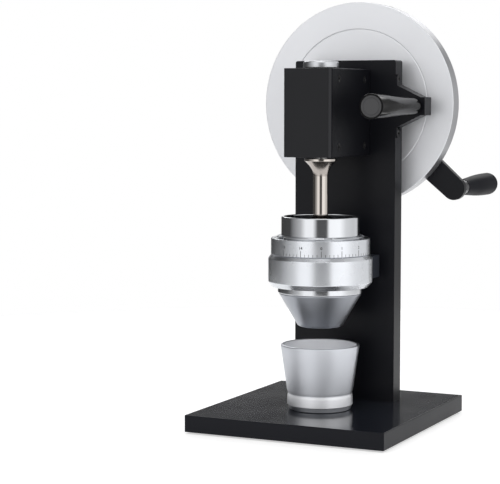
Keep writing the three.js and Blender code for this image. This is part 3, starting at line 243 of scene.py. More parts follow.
def bevel_edges(piece, width, segments, chosen):
    # chosen says of the two ends of an edge whether that edge is bevelled
    alone(piece)
    bpy.ops.object.mode_set(mode="EDIT")
    bpy.ops.mesh.select_mode(type="EDGE")
    bpy.ops.mesh.select_all(action="DESELECT")
    bpy.ops.object.mode_set(mode="OBJECT")
    for edge in piece.data.edges:
        edge.select = chosen(*[piece.data.vertices[i].co for i in edge.vertices])
    bpy.ops.object.mode_set(mode="EDIT")
    bpy.ops.mesh.bevel(offset=width * MM, segments=segments)
    bpy.ops.object.mode_set(mode="OBJECT")


column_finish = anodised("black anodised column", (0.006, 0.0064, 0.009), 0.34, 0.16)
column_low, column_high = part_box("column")
column = block("column_bar", column_low, column_high)


def top_corner(first, last):
    at_top = all(abs(end.z - column_high.z) < CLOSE * MM for end in (first, last))
    return at_top and abs(first.x - last.x) < CLOSE * MM


bevel_edges(column, TOP_CORNER, 6, top_corner)
holes = [
    rod("hole", REAR_BEARING_BORE, REAR_BEARING_SEAT, BEHIND_COLUMN, (0, AXLE_Z), "Y", 96),
    rod("hole", AXLE_BORE, BEFORE_COLUMN, REAR_BEARING_SEAT + 1.5, (0, AXLE_Z), "Y"),
]
for bolt_place in gearbox_bolt_places + carrier_bolt_places:
    holes.append(rod("hole", BOLT_HEAD_HOLE, BOLT_SEAT, BEHIND_COLUMN, bolt_place, "Y"))
    holes.append(rod("hole", BOLT_HOLE, BEFORE_COLUMN, BOLT_SEAT + 1, bolt_place, "Y", 24))
combine(column, "DIFFERENCE", *holes)
soften_edges(column, 0.45, 2)
install(column, column_finish, "frame", "black_anodised", "column")

# Screws and bolts: black steel, with a hexagon socket in each head. The cap heads are sunk in
# counterbores and the countersunk heads lie flush, as they are turned in with a key.


def rounded(profile, steps=4):
    # a profile point may carry a third number, the radius of its corner
    points = []
    for i, corner in enumerate(profile):
        here = Vector(corner[:2])
        if len(corner) == 2:
            points.append(here)
            continue
        back = (Vector(profile[i - 1][:2]) - here).normalized()
        ahead = (Vector(profile[(i + 1) % len(profile)][:2]) - here).normalized()
        half = back.angle(ahead) / 2
        middle = here + (back + ahead).normalized() * corner[2] / math.sin(half)
        first = here + back * corner[2] / math.tan(half) - middle
        last = here + ahead * corner[2] / math.tan(half) - middle
        swing = math.atan2(first.x * last.y - first.y * last.x, first.dot(last))
        for step in range(steps + 1):
            points.append(middle + Matrix.Rotation(swing * step / steps, 2) @ first)
    return points


def turned(name, profile, centre=(0, SPINDLE_Y), axis="Z", sides=192, angle=30):
    # profile points are radius and place along the axis; one that ends off the axis is closed
    points = rounded(profile)
    if points[0].x > 0:
        points.append(points[0])
    if axis == "Z":
        middle = Vector((centre[0], centre[1], 0)) * MM
        path = [middle + Vector((r, 0, h)) * MM for r, h in points]
    else:
        middle = Vector((centre[0], 0, centre[1])) * MM
        path = [middle + Vector((r, h, 0)) * MM for r, h in points]
    bpy.ops.object.select_all(action="DESELECT")
    bpy.ops.mesh.primitive_plane_add(size=MM)
    piece = bpy.context.object
    piece.name = name
    bpy.ops.object.mode_set(mode="EDIT")
    bpy.ops.mesh.select_mode(type="VERT")
    bpy.ops.mesh.merge(type="CENTER")
    bpy.ops.transform.translate(value=path[0])
    for start, end in zip(path, path[1:]):
        bpy.ops.mesh.extrude_vertices_move(TRANSFORM_OT_translate={"value": end - start})
    bpy.ops.mesh.select_all(action="SELECT")
    bpy.ops.mesh.spin(
        steps=sides, angle=2 * math.pi, center=middle,
        axis=(0, 0, 1) if axis == "Z" else (0, 1, 0),
    )
    bpy.ops.mesh.select_all(action="SELECT")
    bpy.ops.mesh.remove_doubles(threshold=0.002 * MM)
    bpy.ops.mesh.normals_make_consistent(inside=False)
    bpy.ops.object.mode_set(mode="OBJECT")
    smooth_flats(piece, angle)
    return piece


def screw_of(name, thread, length, key, socket, *head):
    # socket is where the hexagon socket starts and where its cutter ends, above the head's seat;
    # key is half the width of the key across its flats
    screw = turned(name, [
        (0, -length), (thread - 0.5, -length), (thread, -length + 0.6), *head,
    ], (0, 0), sides=48)
    combine(screw, "DIFFERENCE", rod("key", key * 2 / math.sqrt(3), *socket, (0, 0), sides=6))
    smooth_flats(screw, 30)
    return screw


def cap_screw(name, thread, head, height, length, key):
    return screw_of(
        name, thread, length, key, (height * 0.45, height + 1),
        (thread, 0), (head, 0, 0.25), (head, height, 0.7), (0, height),
    )


def countersunk_screw(name, thread, head, depth, length, key):
    return screw_of(
        name, thread, length, key, (-1.5, 1),
        (thread, -depth), (head, -0.3), (head, 0, 0.15), (0, 0),
    )


def copies(model, material, body, places, axis, node_start):
    # places are in millimetres, each the seat of one screw; the model itself is removed
    for number, place in enumerate(places, 1):
        screw = model.copy()
        screw.data = model.data.copy()
        screw.name = f"{node_start}_{number}_turned"
        screw.data.transform(Matrix.Translation(Vector(place) * MM) @ AXIS_TURNS[axis])
        bpy.context.collection.objects.link(screw)
        install(screw, material, body, "black_steel", f"{node_start}_{number}")
    bpy.data.objects.remove(model)


screw_finish, screw_shader = finish_of("black screw steel", (0.012, 0.012, 0.013), 0.4, 0)
screw_shader.inputs["Specular IOR Level"].default_value = 0.2
grain(screw_finish, screw_shader, 0.4, 0.01)
for bolt_length, bolt_places, bolt_nodes in (
    (30, gearbox_bolt_places, "gearbox_bolt"), (38.8, carrier_bolt_places, "carrier_bolt"),
):
    m6_bolt = cap_screw("m6", 3, 5, 6, bolt_length, 2.5)
    seats = [(x, BOLT_SEAT, z) for x, z in bolt_places]
    copies(m6_bolt, screw_finish, "frame", seats, "Y", bolt_nodes)
dress(screw_finish, "column_screw_1", "column_screw_2", "column_screw_3", "side_grip_bolt")
dress(screw_finish, "burr_set_screw_1", "burr_set_screw_2", "burr_set_screw_3")

# Gearbox: a milled black block, hollow inside and closed on its right side by a flat cover with a
# bevelled edge and four countersunk screws. It is bolted to the column's front from behind.

BEARING_BORE = 14.15
COVER_FACE = 29.2
COVER_BEVEL = 0.9
M4_HEAD_HOLE = 4.15


def slab(name, low, high):
    return block(name, Vector(low) * MM, Vector(high) * MM)


housing_finish = anodised("black anodised gearbox", (0.006, 0.0063, 0.0085), 0.36, 0.25)
cover_finish = anodised("black anodised cover", (0.007, 0.0073, 0.0095), 0.36, 0.07)
housing = block("gearbox_block", *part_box("gearbox_housing"))
combine(
    housing, "DIFFERENCE", slab("cavity", (-20, -55.5, 303), (27, 27.5, 363)),
    rod("bore", AXLE_BORE, 286, 380, (0, SPINDLE_Y)),
    rod("bore", BEARING_BORE, 289, 377, (0, SPINDLE_Y), sides=64),
    rod("bore", BEARING_BORE, 27, 36.5, (0, AXLE_Z), "Y", 64),
    rod("bore", AXLE_BORE, 27, 45, (0, AXLE_Z), "Y"),
)
soften_edges(housing, 0.6, 3)
install(housing, housing_finish, "frame", "black_anodised", "gearbox_housing")

cover_low, cover_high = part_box("gearbox_cover")
cover_screw_places = [(COVER_FACE, y, z) for y in (-42, 28) for z in (298, 368)]
cover = block("gearbox_cover_plate", cover_low, cover_high)
for _, screw_y, screw_z in cover_screw_places:
    combine(cover, "DIFFERENCE", rod("hole", M4_HEAD_HOLE, 28.2, 31, (screw_y, screw_z), "X", 40))


def cover_edge(first, last):
    outside = all(abs(end.x - cover_high.x) < CLOSE / 2 * MM for end in (first, last))
    return outside and (first - last).length > 50 * MM


bevel_edges(cover, COVER_BEVEL, 1, cover_edge)
soften_edges(cover, 0.25, 2)
install(cover, cover_finish, "frame", "black_anodised", "gearbox_cover")
# The cover's front edge gets a lighter, glossier copy of the black: a painted highlight for the
# light this narrow face catches, on a milled face.
cover_edge_painted_highlight = anodised("milled black cover edge, painted highlight", (0.014, 0.0145, 0.018), 0.34, 0.35)
refinish(cover, cover_edge_painted_highlight, lambda face: face.normal.y < -0.9)
m4_screw = countersunk_screw("m4", 2, 3.9, 2.3, 11, 1.25)
copies(m4_screw, screw_finish, "frame", cover_screw_places, "X", "cover_screw")

# Ball bearings: ground steel rings with a pressed shield between them, let into the gearbox, the
# column and the head. Only the one behind the column can be seen, past the flywheel.

steel_finish, _ = surface(
    "ground steel", (0.46, 0.46, 0.46), 1.0, (0.3, 0.24, 0.36), (0.3, 0.004), 8,
)
rear_bearing = turned("rear_bearing_rings", [
    (7.65, 52.8), (17.5, 52.8, 0.4), (17.5, 63.4, 0.4), (15.2, 63.4, 0.2), (15.2, 62.9),
    (10.2, 62.9), (10.2, 63.4, 0.2), (7.65, 63.4, 0.3),
], (0, AXLE_Z), "Y", 96)
install(rear_bearing, steel_finish, "frame", "machined_steel", "axle_rear_bearing")
dress(steel_finish, "axle_front_bearing", "spindle_lower_bearing", "spindle_upper_bearing")
dress(steel_finish, "burr_bearing", "guide_pin", "adjuster_keeper", "axle_bevel_gear")
dress(steel_finish, "axle_gear_pin", "wheel_key", "spindle_bevel_gear")

# Side handle: a wedge of black metal on a round-ended flange, held by two screws to the column's
# right side, carries a smooth black grip that tapers back from its thick front end.

HANDLE_Z = 339.7
GRIP_X = 80
COLUMN_RIGHT = 58.5
FLANGE_FACE = 60
FLANGE_MIDDLE = 49
FLANGE_BACK = 54.5
FLANGE_RISE = 28.8
BRACKET_SCREW_RISE = 28.9
WEDGE_START = 58.6
WEDGE_END = 91.5
WEDGE_RISE = 22.9
WEDGE_END_RISE = 9.6
SLOPE_END = 86.7
flange = slab(
    "side_bracket", (COLUMN_RIGHT, COLUMN_FRONT, HANDLE_Z - FLANGE_RISE),
    (FLANGE_FACE, FLANGE_BACK, HANDLE_Z + FLANGE_RISE),
)
flange_half = (FLANGE_BACK - COLUMN_FRONT) / 2
for rise in (-FLANGE_RISE, FLANGE_RISE):
    combine(flange, "UNION", rod(
        "end", flange_half, COLUMN_RIGHT, FLANGE_FACE, (FLANGE_MIDDLE, HANDLE_Z + rise), "X", 64,
    ))
wedge = slab(
    "wedge", (WEDGE_START, COLUMN_FRONT, HANDLE_Z - WEDGE_RISE),
    (WEDGE_END, COLUMN_BACK, HANDLE_Z + WEDGE_RISE),
)
alone(wedge)
bpy.ops.object.mode_set(mode="EDIT")
for side in (1, -1):
    bpy.ops.mesh.select_all(action="SELECT")
    bpy.ops.mesh.bisect(
        plane_co=Vector((SLOPE_END, 0, HANDLE_Z + side * WEDGE_END_RISE)) * MM,
        plane_no=Vector((13.3, 0, side * 28.2)).normalized(), use_fill=True, clear_outer=True,
    )
bpy.ops.object.mode_set(mode="OBJECT")
wedge_end = slab(
    "wedge_end", (GRIP_X, COLUMN_FRONT, HANDLE_Z - WEDGE_END_RISE),
    (WEDGE_END, COLUMN_BACK, HANDLE_Z + WEDGE_END_RISE),
)
combine(flange, "UNION", wedge, wedge_end)
bracket_screw_places = [
    (FLANGE_FACE, FLANGE_MIDDLE, HANDLE_Z + rise)
    for rise in (-BRACKET_SCREW_RISE, BRACKET_SCREW_RISE)
]
for _, screw_y, screw_z in bracket_screw_places:
    combine(flange, "DIFFERENCE", rod("hole", M4_HEAD_HOLE, 59, 62, (screw_y, screw_z), "X", 40))
soften_edges(flange, 0.4, 2)
install(flange, column_finish, "frame", "black_anodised", "side_handle_bracket")
m4_screw = countersunk_screw("m4", 2, 3.9, 2.3, 14, 1.25)
copies(m4_screw, screw_finish, "frame", bracket_screw_places, "X", "bracket_screw")

grip_finish, grip_shader = surface(
    "black grip plastic", (0.004, 0.004, 0.0045), 0, (0.13, 0.11, 0.15), (4.0, 0.006), 30,
)
grip_shader.inputs["Specular IOR Level"].default_value = 0.11


def swept_radius(stations, place):
    # smooth curve through stations of place and radius
    last = len(stations) - 1
    first = max(i for i in range(last) if stations[i][0] <= place)
    (x0, r0), (x1, r1) = stations[first], stations[first + 1]
    slopes = []
    for i in (first, first + 1):
        (xa, ra), (xb, rb) = stations[max(i - 1, 0)], stations[min(i + 1, last)]
        slopes.append((rb - ra) / (xb - xa) * (x1 - x0))
    t = (place - x0) / (x1 - x0)
    start = r0 * (1 - t) ** 2 * (1 + 2 * t) + slopes[0] * t * (1 - t) ** 2
    return start + r1 * t * t * (3 - 2 * t) - slopes[1] * t * t * (1 - t)


side_stations = [
    (0, 9.3), (22, 9.15), (42, 9.6), (62, 10.55), (84, 11.9), (105, 12.8), (125, 13),
]
side_outline = [(swept_radius(side_stations, step * 4), 43.2 - step * 4) for step in range(1, 30)]
side_grip = turned("side_grip_moulding", [
    (4.1, 43.2), (8.6, 43.2, 0.6), *side_outline, (13, -81.8, 1.2), (11.4, -81.8, 0.3),
    (11.4, -78.2), (6.7, -78.2), (6.7, -67.8), (4.1, -67.8),
], (GRIP_X, HANDLE_Z), "Y", 96, 40)
install(side_grip, grip_finish, "frame", "black_plastic", "side_grip")
cap_finish, cap_shader = finish_of("black grip cap", (0.045, 0.045, 0.048), 0.42, 0)
grain(cap_finish, cap_shader, 0.5, 0.02)
grip_cap = turned("side_grip_disc", [
    (0, -78.4), (11.2, -78.4), (11.2, -81.2, 0.4), (9.0, -81.2), (8.7, -80.9), (8.4, -81.2),
    (0, -81.2),
], (GRIP_X, HANDLE_Z), "Y", 64)
install(grip_cap, cap_finish, "frame", "black_plastic", "side_grip_cap")

# Carrier arm: a black block between the column and the burr head, milled hollow to the head's
# round side and clamped by two bolts from behind the column.

arm_low, arm_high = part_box("carrier_arm")
carrier_arm = block("carrier_block", (arm_low.x, 13.5 * MM, arm_low.z), arm_high)
combine(carrier_arm, "DIFFERENCE", rod("hollow", 55.25, 150, 185, (0, SPINDLE_Y), sides=160))
soften_edges(carrier_arm, 0.4, 2)
# The arm's black is several times lighter than the other black parts: painted light on the arm's
# faces.
carrier_painted_light = anodised("black anodised arm", (0.03, 0.033, 0.042), 0.4, 0.1)
install(carrier_arm, carrier_painted_light, "frame", "black_anodised", "carrier_arm")

# Burr head: a bead-blasted aluminium body with a bridge for the lower bearing, a polished neck
# ring under it, and the outlet cone that is screwed up into the body and clamps the ring.

BRIDGE_FOOT = 158.35
BRIDGE_TOP = 166.55


def turned_sheen(material, shader, amount):
    # the fine grooves left by turning run round the piece and draw its highlights out lengthwise
    around = add_node(material, "ShaderNodeTangent", direction_type="RADIAL", axis="Z")
    material.node_tree.links.new(around.outputs["Tangent"], shader.inputs["Tangent"])
    shader.inputs["Anisotropic"].default_value = amount
    shader.inputs["Anisotropic Rotation"].default_value = 0.25


def swing_round(piece, degrees):
    # turns a piece made at the middle of the frame and moves it to the spindle's axis
    piece.data.transform(
        Matrix.Translation((0, SPINDLE_Y * MM, 0))
        @ Matrix.Rotation(math.radians(degrees), 4, "Z"),
    )


blasted_finish, blasted_shader = surface(
    "bead-blasted aluminium", (0.69, 0.71, 0.745), 1.0, (0.27, 0.25, 0.29), (0.28, 0.035), 30,
    strength=0.4, detail=4,
)
turned_sheen(blasted_finish, blasted_shader, 0.45)
head_body = turned("head_shell", [
    (40.15, 150.2), (51, 150.2, 0.7), (55.1, 155.7, 1.2), (55.1, 180.3, 1.2), (52.6, 183.9, 0.3),
    (51.7, 184.3), (49.6, 184.3), (49.6, 187.15), (48.6, 187.15), (48.6, 189.25), (49.6, 189.25),
    (49.6, 192.3, 0.3), (43.8, 192.3, 0.3), (43.8, 170.3), (38, BRIDGE_TOP), (38, BRIDGE_FOOT),
    (40.15, BRIDGE_FOOT),
])
bridge = [rod("hub", 14.5, BRIDGE_FOOT, BRIDGE_TOP, (0, SPINDLE_Y), sides=64)]
for turn in (90, 210, 330):
    bridge_arm = slab("arm", (0, -3.5, BRIDGE_FOOT), (38.6, 3.5, BRIDGE_TOP))
    swing_round(bridge_arm, turn)
    bridge.append(bridge_arm)
combine(head_body, "UNION", *bridge)
combine(
    head_body, "DIFFERENCE", rod("seat", 11.15, 159.55, 168, (0, SPINDLE_Y), sides=64),
    rod("seat", 6.5, 157, 168, (0, SPINDLE_Y)),
)
smooth_flats(head_body, 30)
install(head_body, blasted_finish, "frame", "blasted_aluminium", "head_body")

polished_finish, _ = surface(
    "polished steel", (0.64, 0.655, 0.68), 1.0, (0.1, 0.07, 0.13), (3.5, 0.004), 18,
)
neck_ring = turned("neck_band", [
    (40.15, 143.7), (45, 143.7, 0.9), (45, 150.0, 0.4), (40.15, 150.0),
])
install(neck_ring, polished_finish, "frame", "polished_steel", "neck_ring")

cone_finish, cone_shader = surface(
    "dull turned aluminium", (0.36, 0.375, 0.41), 1.0, (0.34, 0.31, 0.37), (0.3, 0.04), 25,
    strength=0.5, detail=4,
)
turned_sheen(cone_finish, cone_shader, 0.35)
outlet = turned("outlet_funnel", [
    (15, 107.45, 0.5), (23.11, 107.45, 6), (43.5, 142.4, 0.5), (43.5, 143.55, 0.3), (40, 143.55),
    (40, 158.05), (37, 158.05), (37, 140.15), (24.1, 113.85), (15, 110.5, 1),
])
install(outlet, cone_finish, "frame", "blasted_aluminium", "outlet_cone")

# Adjuster: a bead-blasted ring that turns on the head's rim. Its scale is engraved and filled
# with black paint: a long line at each number from 0 to 14 and four short ones between them.

NUMBERS = 15
STEP_TURN = 24
DIAL_RADIUS = 52.3
DIAL_START = -65.6
PAINT = 0.03
LINE_FOOT = 185.1
NUMBER_FOOT = 193.0
NUMBER_HEIGHT = 4.0
adjuster = turned("adjuster_band", [
    (49.9, 184.45), (51.7, 184.45), (DIAL_RADIUS, 185.0, 0.2), (DIAL_RADIUS, 201.65, 0.5),
    (43.8, 201.65), (43.8, 192.6), (49.9, 192.6), (49.9, 189.25), (50.9, 189.25), (50.9, 187.15),
    (49.9, 187.15),
])
install(adjuster, blasted_finish, "adjuster", "blasted_aluminium", "adjuster_ring")

paint_finish, paint_shader = finish_of("black scale paint", (0.02, 0.02, 0.02), 0.6, 0)
grain(paint_finish, paint_shader, 0.3, 0.01)


def dial_line(name, width, high, first_turn):
    # one painted line, then copied round the ring by spinning duplicates
    line = slab(
        name, (DIAL_RADIUS - PAINT, -width / 2, LINE_FOOT), (DIAL_RADIUS + PAINT, width / 2, high),
    )
    line.data.transform(Matrix.Rotation(math.radians(first_turn), 4, "Z"))
    alone(line)
    bpy.ops.object.mode_set(mode="EDIT")
    bpy.ops.mesh.select_all(action="SELECT")
    bpy.ops.mesh.spin(
        steps=NUMBERS, angle=2 * math.pi, center=(0, 0, 0), axis=(0, 0, 1), dupli=True,
    )
    bpy.ops.mesh.select_all(action="SELECT")
    bpy.ops.mesh.remove_doubles(threshold=0.002 * MM)
    bpy.ops.object.mode_set(mode="OBJECT")
    return line


dial_marks = dial_line("dial_scale", 0.55, 191.4, 0)
marks = [dial_line("short_lines", 0.42, 187.8, STEP_TURN / 5 * step) for step in (1, 2, 3, 4)]
for number in range(NUMBERS):
    bpy.ops.object.select_all(action="DESELECT")
    bpy.ops.object.text_add()
    numeral = bpy.context.object
    numeral.data.body = str(number)
    numeral.data.align_x = "CENTER"
    numeral.data.size = NUMBER_HEIGHT * MM
    numeral.data.offset = 0.07 * MM
    numeral.data.extrude = PAINT * MM
    bpy.ops.object.convert(target="MESH")
    numeral = bpy.context.object
    for vertex in numeral.data.vertices:
        turn = math.radians(STEP_TURN * number) + vertex.co.x / (DIAL_RADIUS * MM)
        reach = DIAL_RADIUS * MM + vertex.co.z
        rise = NUMBER_FOOT * MM + vertex.co.y
        vertex.co = (reach * math.cos(turn), reach * math.sin(turn), rise)
    marks.append(numeral)
alone(dial_marks)
for mark in marks:
    mark.select_set(True)
bpy.ops.object.join()
swing_round(dial_marks, DIAL_START)
install(dial_marks, paint_finish, "adjuster", "black_steel")

# Burr holder and hopper collar: a turned aluminium sleeve with a notched flange carries the ring
# burr. The polished steel collar pressed into its top is the mouth for the beans.

NOTCHES = 5
FIRST_NOTCH = -57
satin_finish, _ = surface(
    "satin aluminium", (0.60, 0.615, 0.64), 1.0, (0.28, 0.27, 0.35), (0.5, 0.004), 20,
)
holder = turned("holder_sleeve", [
    (36.15, 171.3), (43.5, 171.3, 0.4), (43.5, 202.65), (46, 202.65, 0.2), (46, 203.3),
    (45, 204.25), (39.95, 204.25), (39.95, 198.75), (38, 198.75), (33, 195.9), (36.15, 195.9),
])
for number in range(NOTCHES):
    notch = slab("notch", (43.8, -4, 202.4), (47, 4, 204.5))
    swing_round(notch, 360 / NOTCHES * number + FIRST_NOTCH)
    combine(holder, "DIFFERENCE", notch)
smooth_flats(holder, 30)
install(holder, satin_finish, "burr_carrier", "satin_aluminium", "burr_holder")
collar = turned("collar_band", [
    (38, 198.9), (39.8, 198.9), (39.8, 204.3), (41.5, 204.3, 0.3), (41.5, 224.25, 1.1),
    (38, 224.25, 1.1),
])
install(collar, polished_finish, "burr_carrier", "polished_steel", "hopper_collar")
dress(steel_finish, "ring_burr", "cone_burr", "burr_nut")

# Drive shaft and top knob: a polished shaft with a brushed trumpet flare that covers the lower
# bearing. The turned aluminium knob on the gearbox draws it up into the hollow gear shaft.

SHAFT_RADIUS = 8
FLARE_RADIUS = 17
FLARE_TOP = 282.4
FLARE_LENGTH = 16
shaft_finish, _ = surface(
    "nickel-plated shaft", (0.56, 0.52, 0.485), 1.0, (0.07, 0.05, 0.09), (3.0, 0.003), 12,
)
flare = []
for step in range(1, FLARE_LENGTH + 1):
    widening = (FLARE_RADIUS - SHAFT_RADIUS) * (1 - step / FLARE_LENGTH) ** 2.1
    flare.append((SHAFT_RADIUS + widening, FLARE_TOP - step))
drive_shaft = turned("drive_shaft_turned", [
    (0, 383.6), (4, 383.6, 0.5), (4, 285), (FLARE_RADIUS, 285, 0.5),
    (FLARE_RADIUS, FLARE_TOP, 0.4), *flare, (SHAFT_RADIUS, 195.0), (5, 195.0), (5, 167.0),
    (4, 167.0), (4, 159.55, 0.4), (0, 159.55),
], sides=96, angle=34)
install(drive_shaft, shaft_finish, "spindle", "polished_steel", "drive_shaft")
# The flare gets a darker, browner copy of the shaft's metal: painted shade for the dark
# reflections it shows; its brushed grain is real.
flare_painted_shade, flare_shader = surface(
    "brushed shaft flare, painted shade", (0.42, 0.385, 0.36), 1.0, (0.22, 0.2, 0.24), (0.3, 0.004), 12,
)
turned_sheen(flare_painted_shade, flare_shader, 0.6)
refinish(drive_shaft, flare_painted_shade, lambda face: 265 * MM < face.center.z < 282.2 * MM)
knob = turned("top_knob_turned", [
    (0, 384), (4.2, 384), (4.2, 380), (18.6, 380, 0.4), (18.6, 386.5, 2.0), (12, 386.95), (0, 387),
], sides=96)
install(knob, satin_finish, "spindle", "satin_aluminium", "top_knob")

# Flywheel: a heavy solid disc of satin turned metal, with broken edges and one fine turned circle
# on its front face, keyed to the axle behind the column.

WHEEL_FRONT = 78.7
WHEEL_BACK = 97.5
WHEEL_RADIUS = 111.35
LATHE_PITCH = 0.35
wheel_finish, wheel_shader = finish_of("satin flywheel", (0.85, 0.86, 0.89), 0.4, 0.4)
wheel_place = add_node(wheel_finish, "ShaderNodeTexCoord")
wheel_centre = add_node(wheel_finish, "ShaderNodeVectorMath", {
    0: wheel_place.outputs["Object"], 1: (0, 0, AXLE_Z * MM),
}, operation="SUBTRACT")
wheel_plane = add_node(wheel_finish, "ShaderNodeVectorMath", {
    0: wheel_centre.outputs["Vector"], 1: (1, 0, 1),
}, operation="MULTIPLY")
wheel_reach = add_node(wheel_finish, "ShaderNodeVectorMath", {
    0: wheel_plane.outputs["Vector"],
}, operation="LENGTH")
wheel_rings = add_node(wheel_finish, "ShaderNodeTexNoise", {
    "W": wheel_reach.outputs["Value"], "Scale": 1 / (LATHE_PITCH * MM), "Detail": 3,
}, noise_dimensions="1D")
wheel_bump = add_node(wheel_finish, "ShaderNodeBump", {
    "Height": wheel_rings.outputs["Fac"], "Strength": 0.15, "Distance": 0.006 * MM,
})
wheel_finish.node_tree.links.new(wheel_bump.outputs["Normal"], wheel_shader.inputs["Normal"])
uneven(wheel_finish, wheel_place, wheel_shader.inputs["Roughness"], 60, 0.37, 0.43)
# The rim gets a darker copy of the wheel's metal: painted shade on the faces that turn away from
# the light.
rim_painted_shade, _ = surface(
    "turned flywheel rim", (0.48, 0.485, 0.505), 0.8, (0.32, 0.29, 0.35), (0.3, 0.005), 40,
)
flywheel = turned("flywheel_disc", [
    (8.15, WHEEL_FRONT), (81.0, WHEEL_FRONT), (81.75, 79.15), (82.5, WHEEL_FRONT),
    (WHEEL_RADIUS, WHEEL_FRONT, 0.9), (WHEEL_RADIUS, WHEEL_BACK, 0.9), (8.15, WHEEL_BACK),
], (0, AXLE_Z), "Y", 256)
install(flywheel, wheel_finish, "wheel", "satin_aluminium", "flywheel")


def on_rim(face):
    from_axle = math.hypot(face.center.x, face.center.z - AXLE_Z * MM)
    return from_axle > 110 * MM and abs(face.normal.y) < 0.5


refinish(flywheel, rim_painted_shade, on_rim)

axle = turned("axle_turned", [
    (0, -7.5), (7.5, -7.5, 0.6), (7.5, 63.8), (12, 63.8, 0.4), (12, WHEEL_FRONT),
    (8, WHEEL_FRONT), (8, 105.2), (6, 105.2), (6, 116.6), (5.2, 117.5), (0, 117.5),
], (0, AXLE_Z), "Y", 64)
install(axle, steel_finish, "wheel", "machined_steel", "axle")

# Crank: a flat black arm on the flywheel's back, held by two cap screws and the axle's flange
# nut. Past the rim it carries a pin on which the ferrule and the swelling black grip turn freely.

CRANK_ANGLE = 41
CRANK_REACH = 140
ARM_BACK = 105.5
CRANK_SCREW_REACHES = (34, 62)
crank_turn = Matrix.Translation((0, 0, AXLE_Z * MM)) @ Matrix.Rotation(
    math.radians(CRANK_ANGLE), 4, "Y",
)
GRIP_CENTRE = (
    CRANK_REACH * math.cos(math.radians(CRANK_ANGLE)),
    AXLE_Z - CRANK_REACH * math.sin(math.radians(CRANK_ANGLE)),
)
crank_arm = rod("crank_bar", 16.4, WHEEL_BACK, ARM_BACK, (0, 0), "Y", 96)
crank_tip = rod("tip", 12.7, WHEEL_BACK, ARM_BACK, (CRANK_REACH, 0), "Y", 96)
alone(crank_arm)
crank_tip.select_set(True)
bpy.ops.object.join()
bpy.ops.object.mode_set(mode="EDIT")
bpy.ops.mesh.select_all(action="SELECT")
bpy.ops.mesh.convex_hull()
bpy.ops.mesh.select_all(action="SELECT")
bpy.ops.mesh.dissolve_limited(angle_limit=math.radians(1))
bpy.ops.mesh.normals_make_consistent(inside=False)
bpy.ops.object.mode_set(mode="OBJECT")
crank_arm.data.transform(crank_turn)
soften_edges(crank_arm, 0.55, 3)
install(crank_arm, column_finish, "wheel", "black_anodised", "crank_arm")

m5_screw = cap_screw("m5", 2.5, 4.3, 5, 18, 2)
crank_screw_places = [
    (crank_turn @ Vector((reach * MM, ARM_BACK * MM, 0))) / MM for reach in CRANK_SCREW_REACHES
]
copies(m5_screw, screw_finish, "wheel", crank_screw_places, "Y", "crank_screw")

nut = rod("axle_flange_nut", 10.97, 107.0, 115.5, (0, AXLE_Z), "Y", 6)
nut_round = turned("round", [
    (0, 106), (13, 106), (13, 113.6), (9.6, 115.6), (0, 115.6),
], (0, AXLE_Z), "Y", 96)
combine(nut, "INTERSECT", nut_round)
nut_flange = turned("flange", [
    (6.2, ARM_BACK), (13, ARM_BACK, 0.4), (13, 106.9, 0.4), (10, 108.1), (6.2, 108.1),
], (0, AXLE_Z), "Y", 96)
combine(nut, "UNION", nut_flange)
combine(nut, "DIFFERENCE", rod("thread", 6.2, 104, 117, (0, AXLE_Z), "Y", 48))
smooth_flats(nut, 30)
install(nut, steel_finish, "wheel", "machined_steel", "axle_nut")

grip_pin = turned("grip_pin_turned", [
    (0, 97.9), (4, 97.9), (4, ARM_BACK), (7, ARM_BACK, 0.3), (7, 118, 0.4), (4.5, 118),
    (4.5, 195.4), (5.2, 195.4), (4.5, 198.4), (0, 198.4),
], GRIP_CENTRE, "Y", 64)
install(grip_pin, screw_finish, "wheel", "machined_steel", "grip_pin")
ferrule = turned("grip_ferrule_turned", [
    (4.8, 118.3), (8.25, 118.3, 0.5), (8.25, 128.8), (6.5, 128.8), (6.5, 134.8), (4.8, 134.8),
], GRIP_CENTRE, "Y", 64)
ferrule_finish, _ = surface(
    "dark ferrule steel", (0.11, 0.11, 0.12), 1.0, (0.24, 0.2, 0.28), (0.4, 0.003), 6,
)
install(ferrule, ferrule_finish, "crank_handle", "machined_steel", "grip_ferrule")
crank_stations = [(0, 8.6), (27, 10.4), (44.5, 11.6), (63, 12.28), (81, 12.55), (88, 12.55)]
crank_outline = [
    (swept_radius(crank_stations, step * 4), 128.8 + step * 4) for step in range(1, 22)
]
grip_end = []
for turn in range(0, 90, 10):
    across = 12.55 * math.cos(math.radians(turn)) ** 0.8
    grip_end.append((across, 216.5 + 9 * math.sin(math.radians(turn))))
crank_grip = turned("crank_grip_moulding", [
    (0, 198.8), (5.6, 198.8), (5.6, 195.0), (4.8, 195.0), (4.8, 135), (6.65, 135), (6.65, 128.8),
    (8.6, 128.8, 0.4), *crank_outline, *grip_end, (0, 225.5),
], GRIP_CENTRE, "Y", 96, 40)
matte_finish, matte_shader = surface(
    "matte crank grip plastic", (0.01, 0.0105, 0.0135), 0, (0.5, 0.4, 0.45), (0.6, 0.01), 30,
)
matte_shader.inputs["IOR"].default_value = 1.25
matte_shader.inputs["Specular IOR Level"].default_value = 0.1
install(crank_grip, matte_finish, "crank_handle", "black_plastic", "crank_grip")
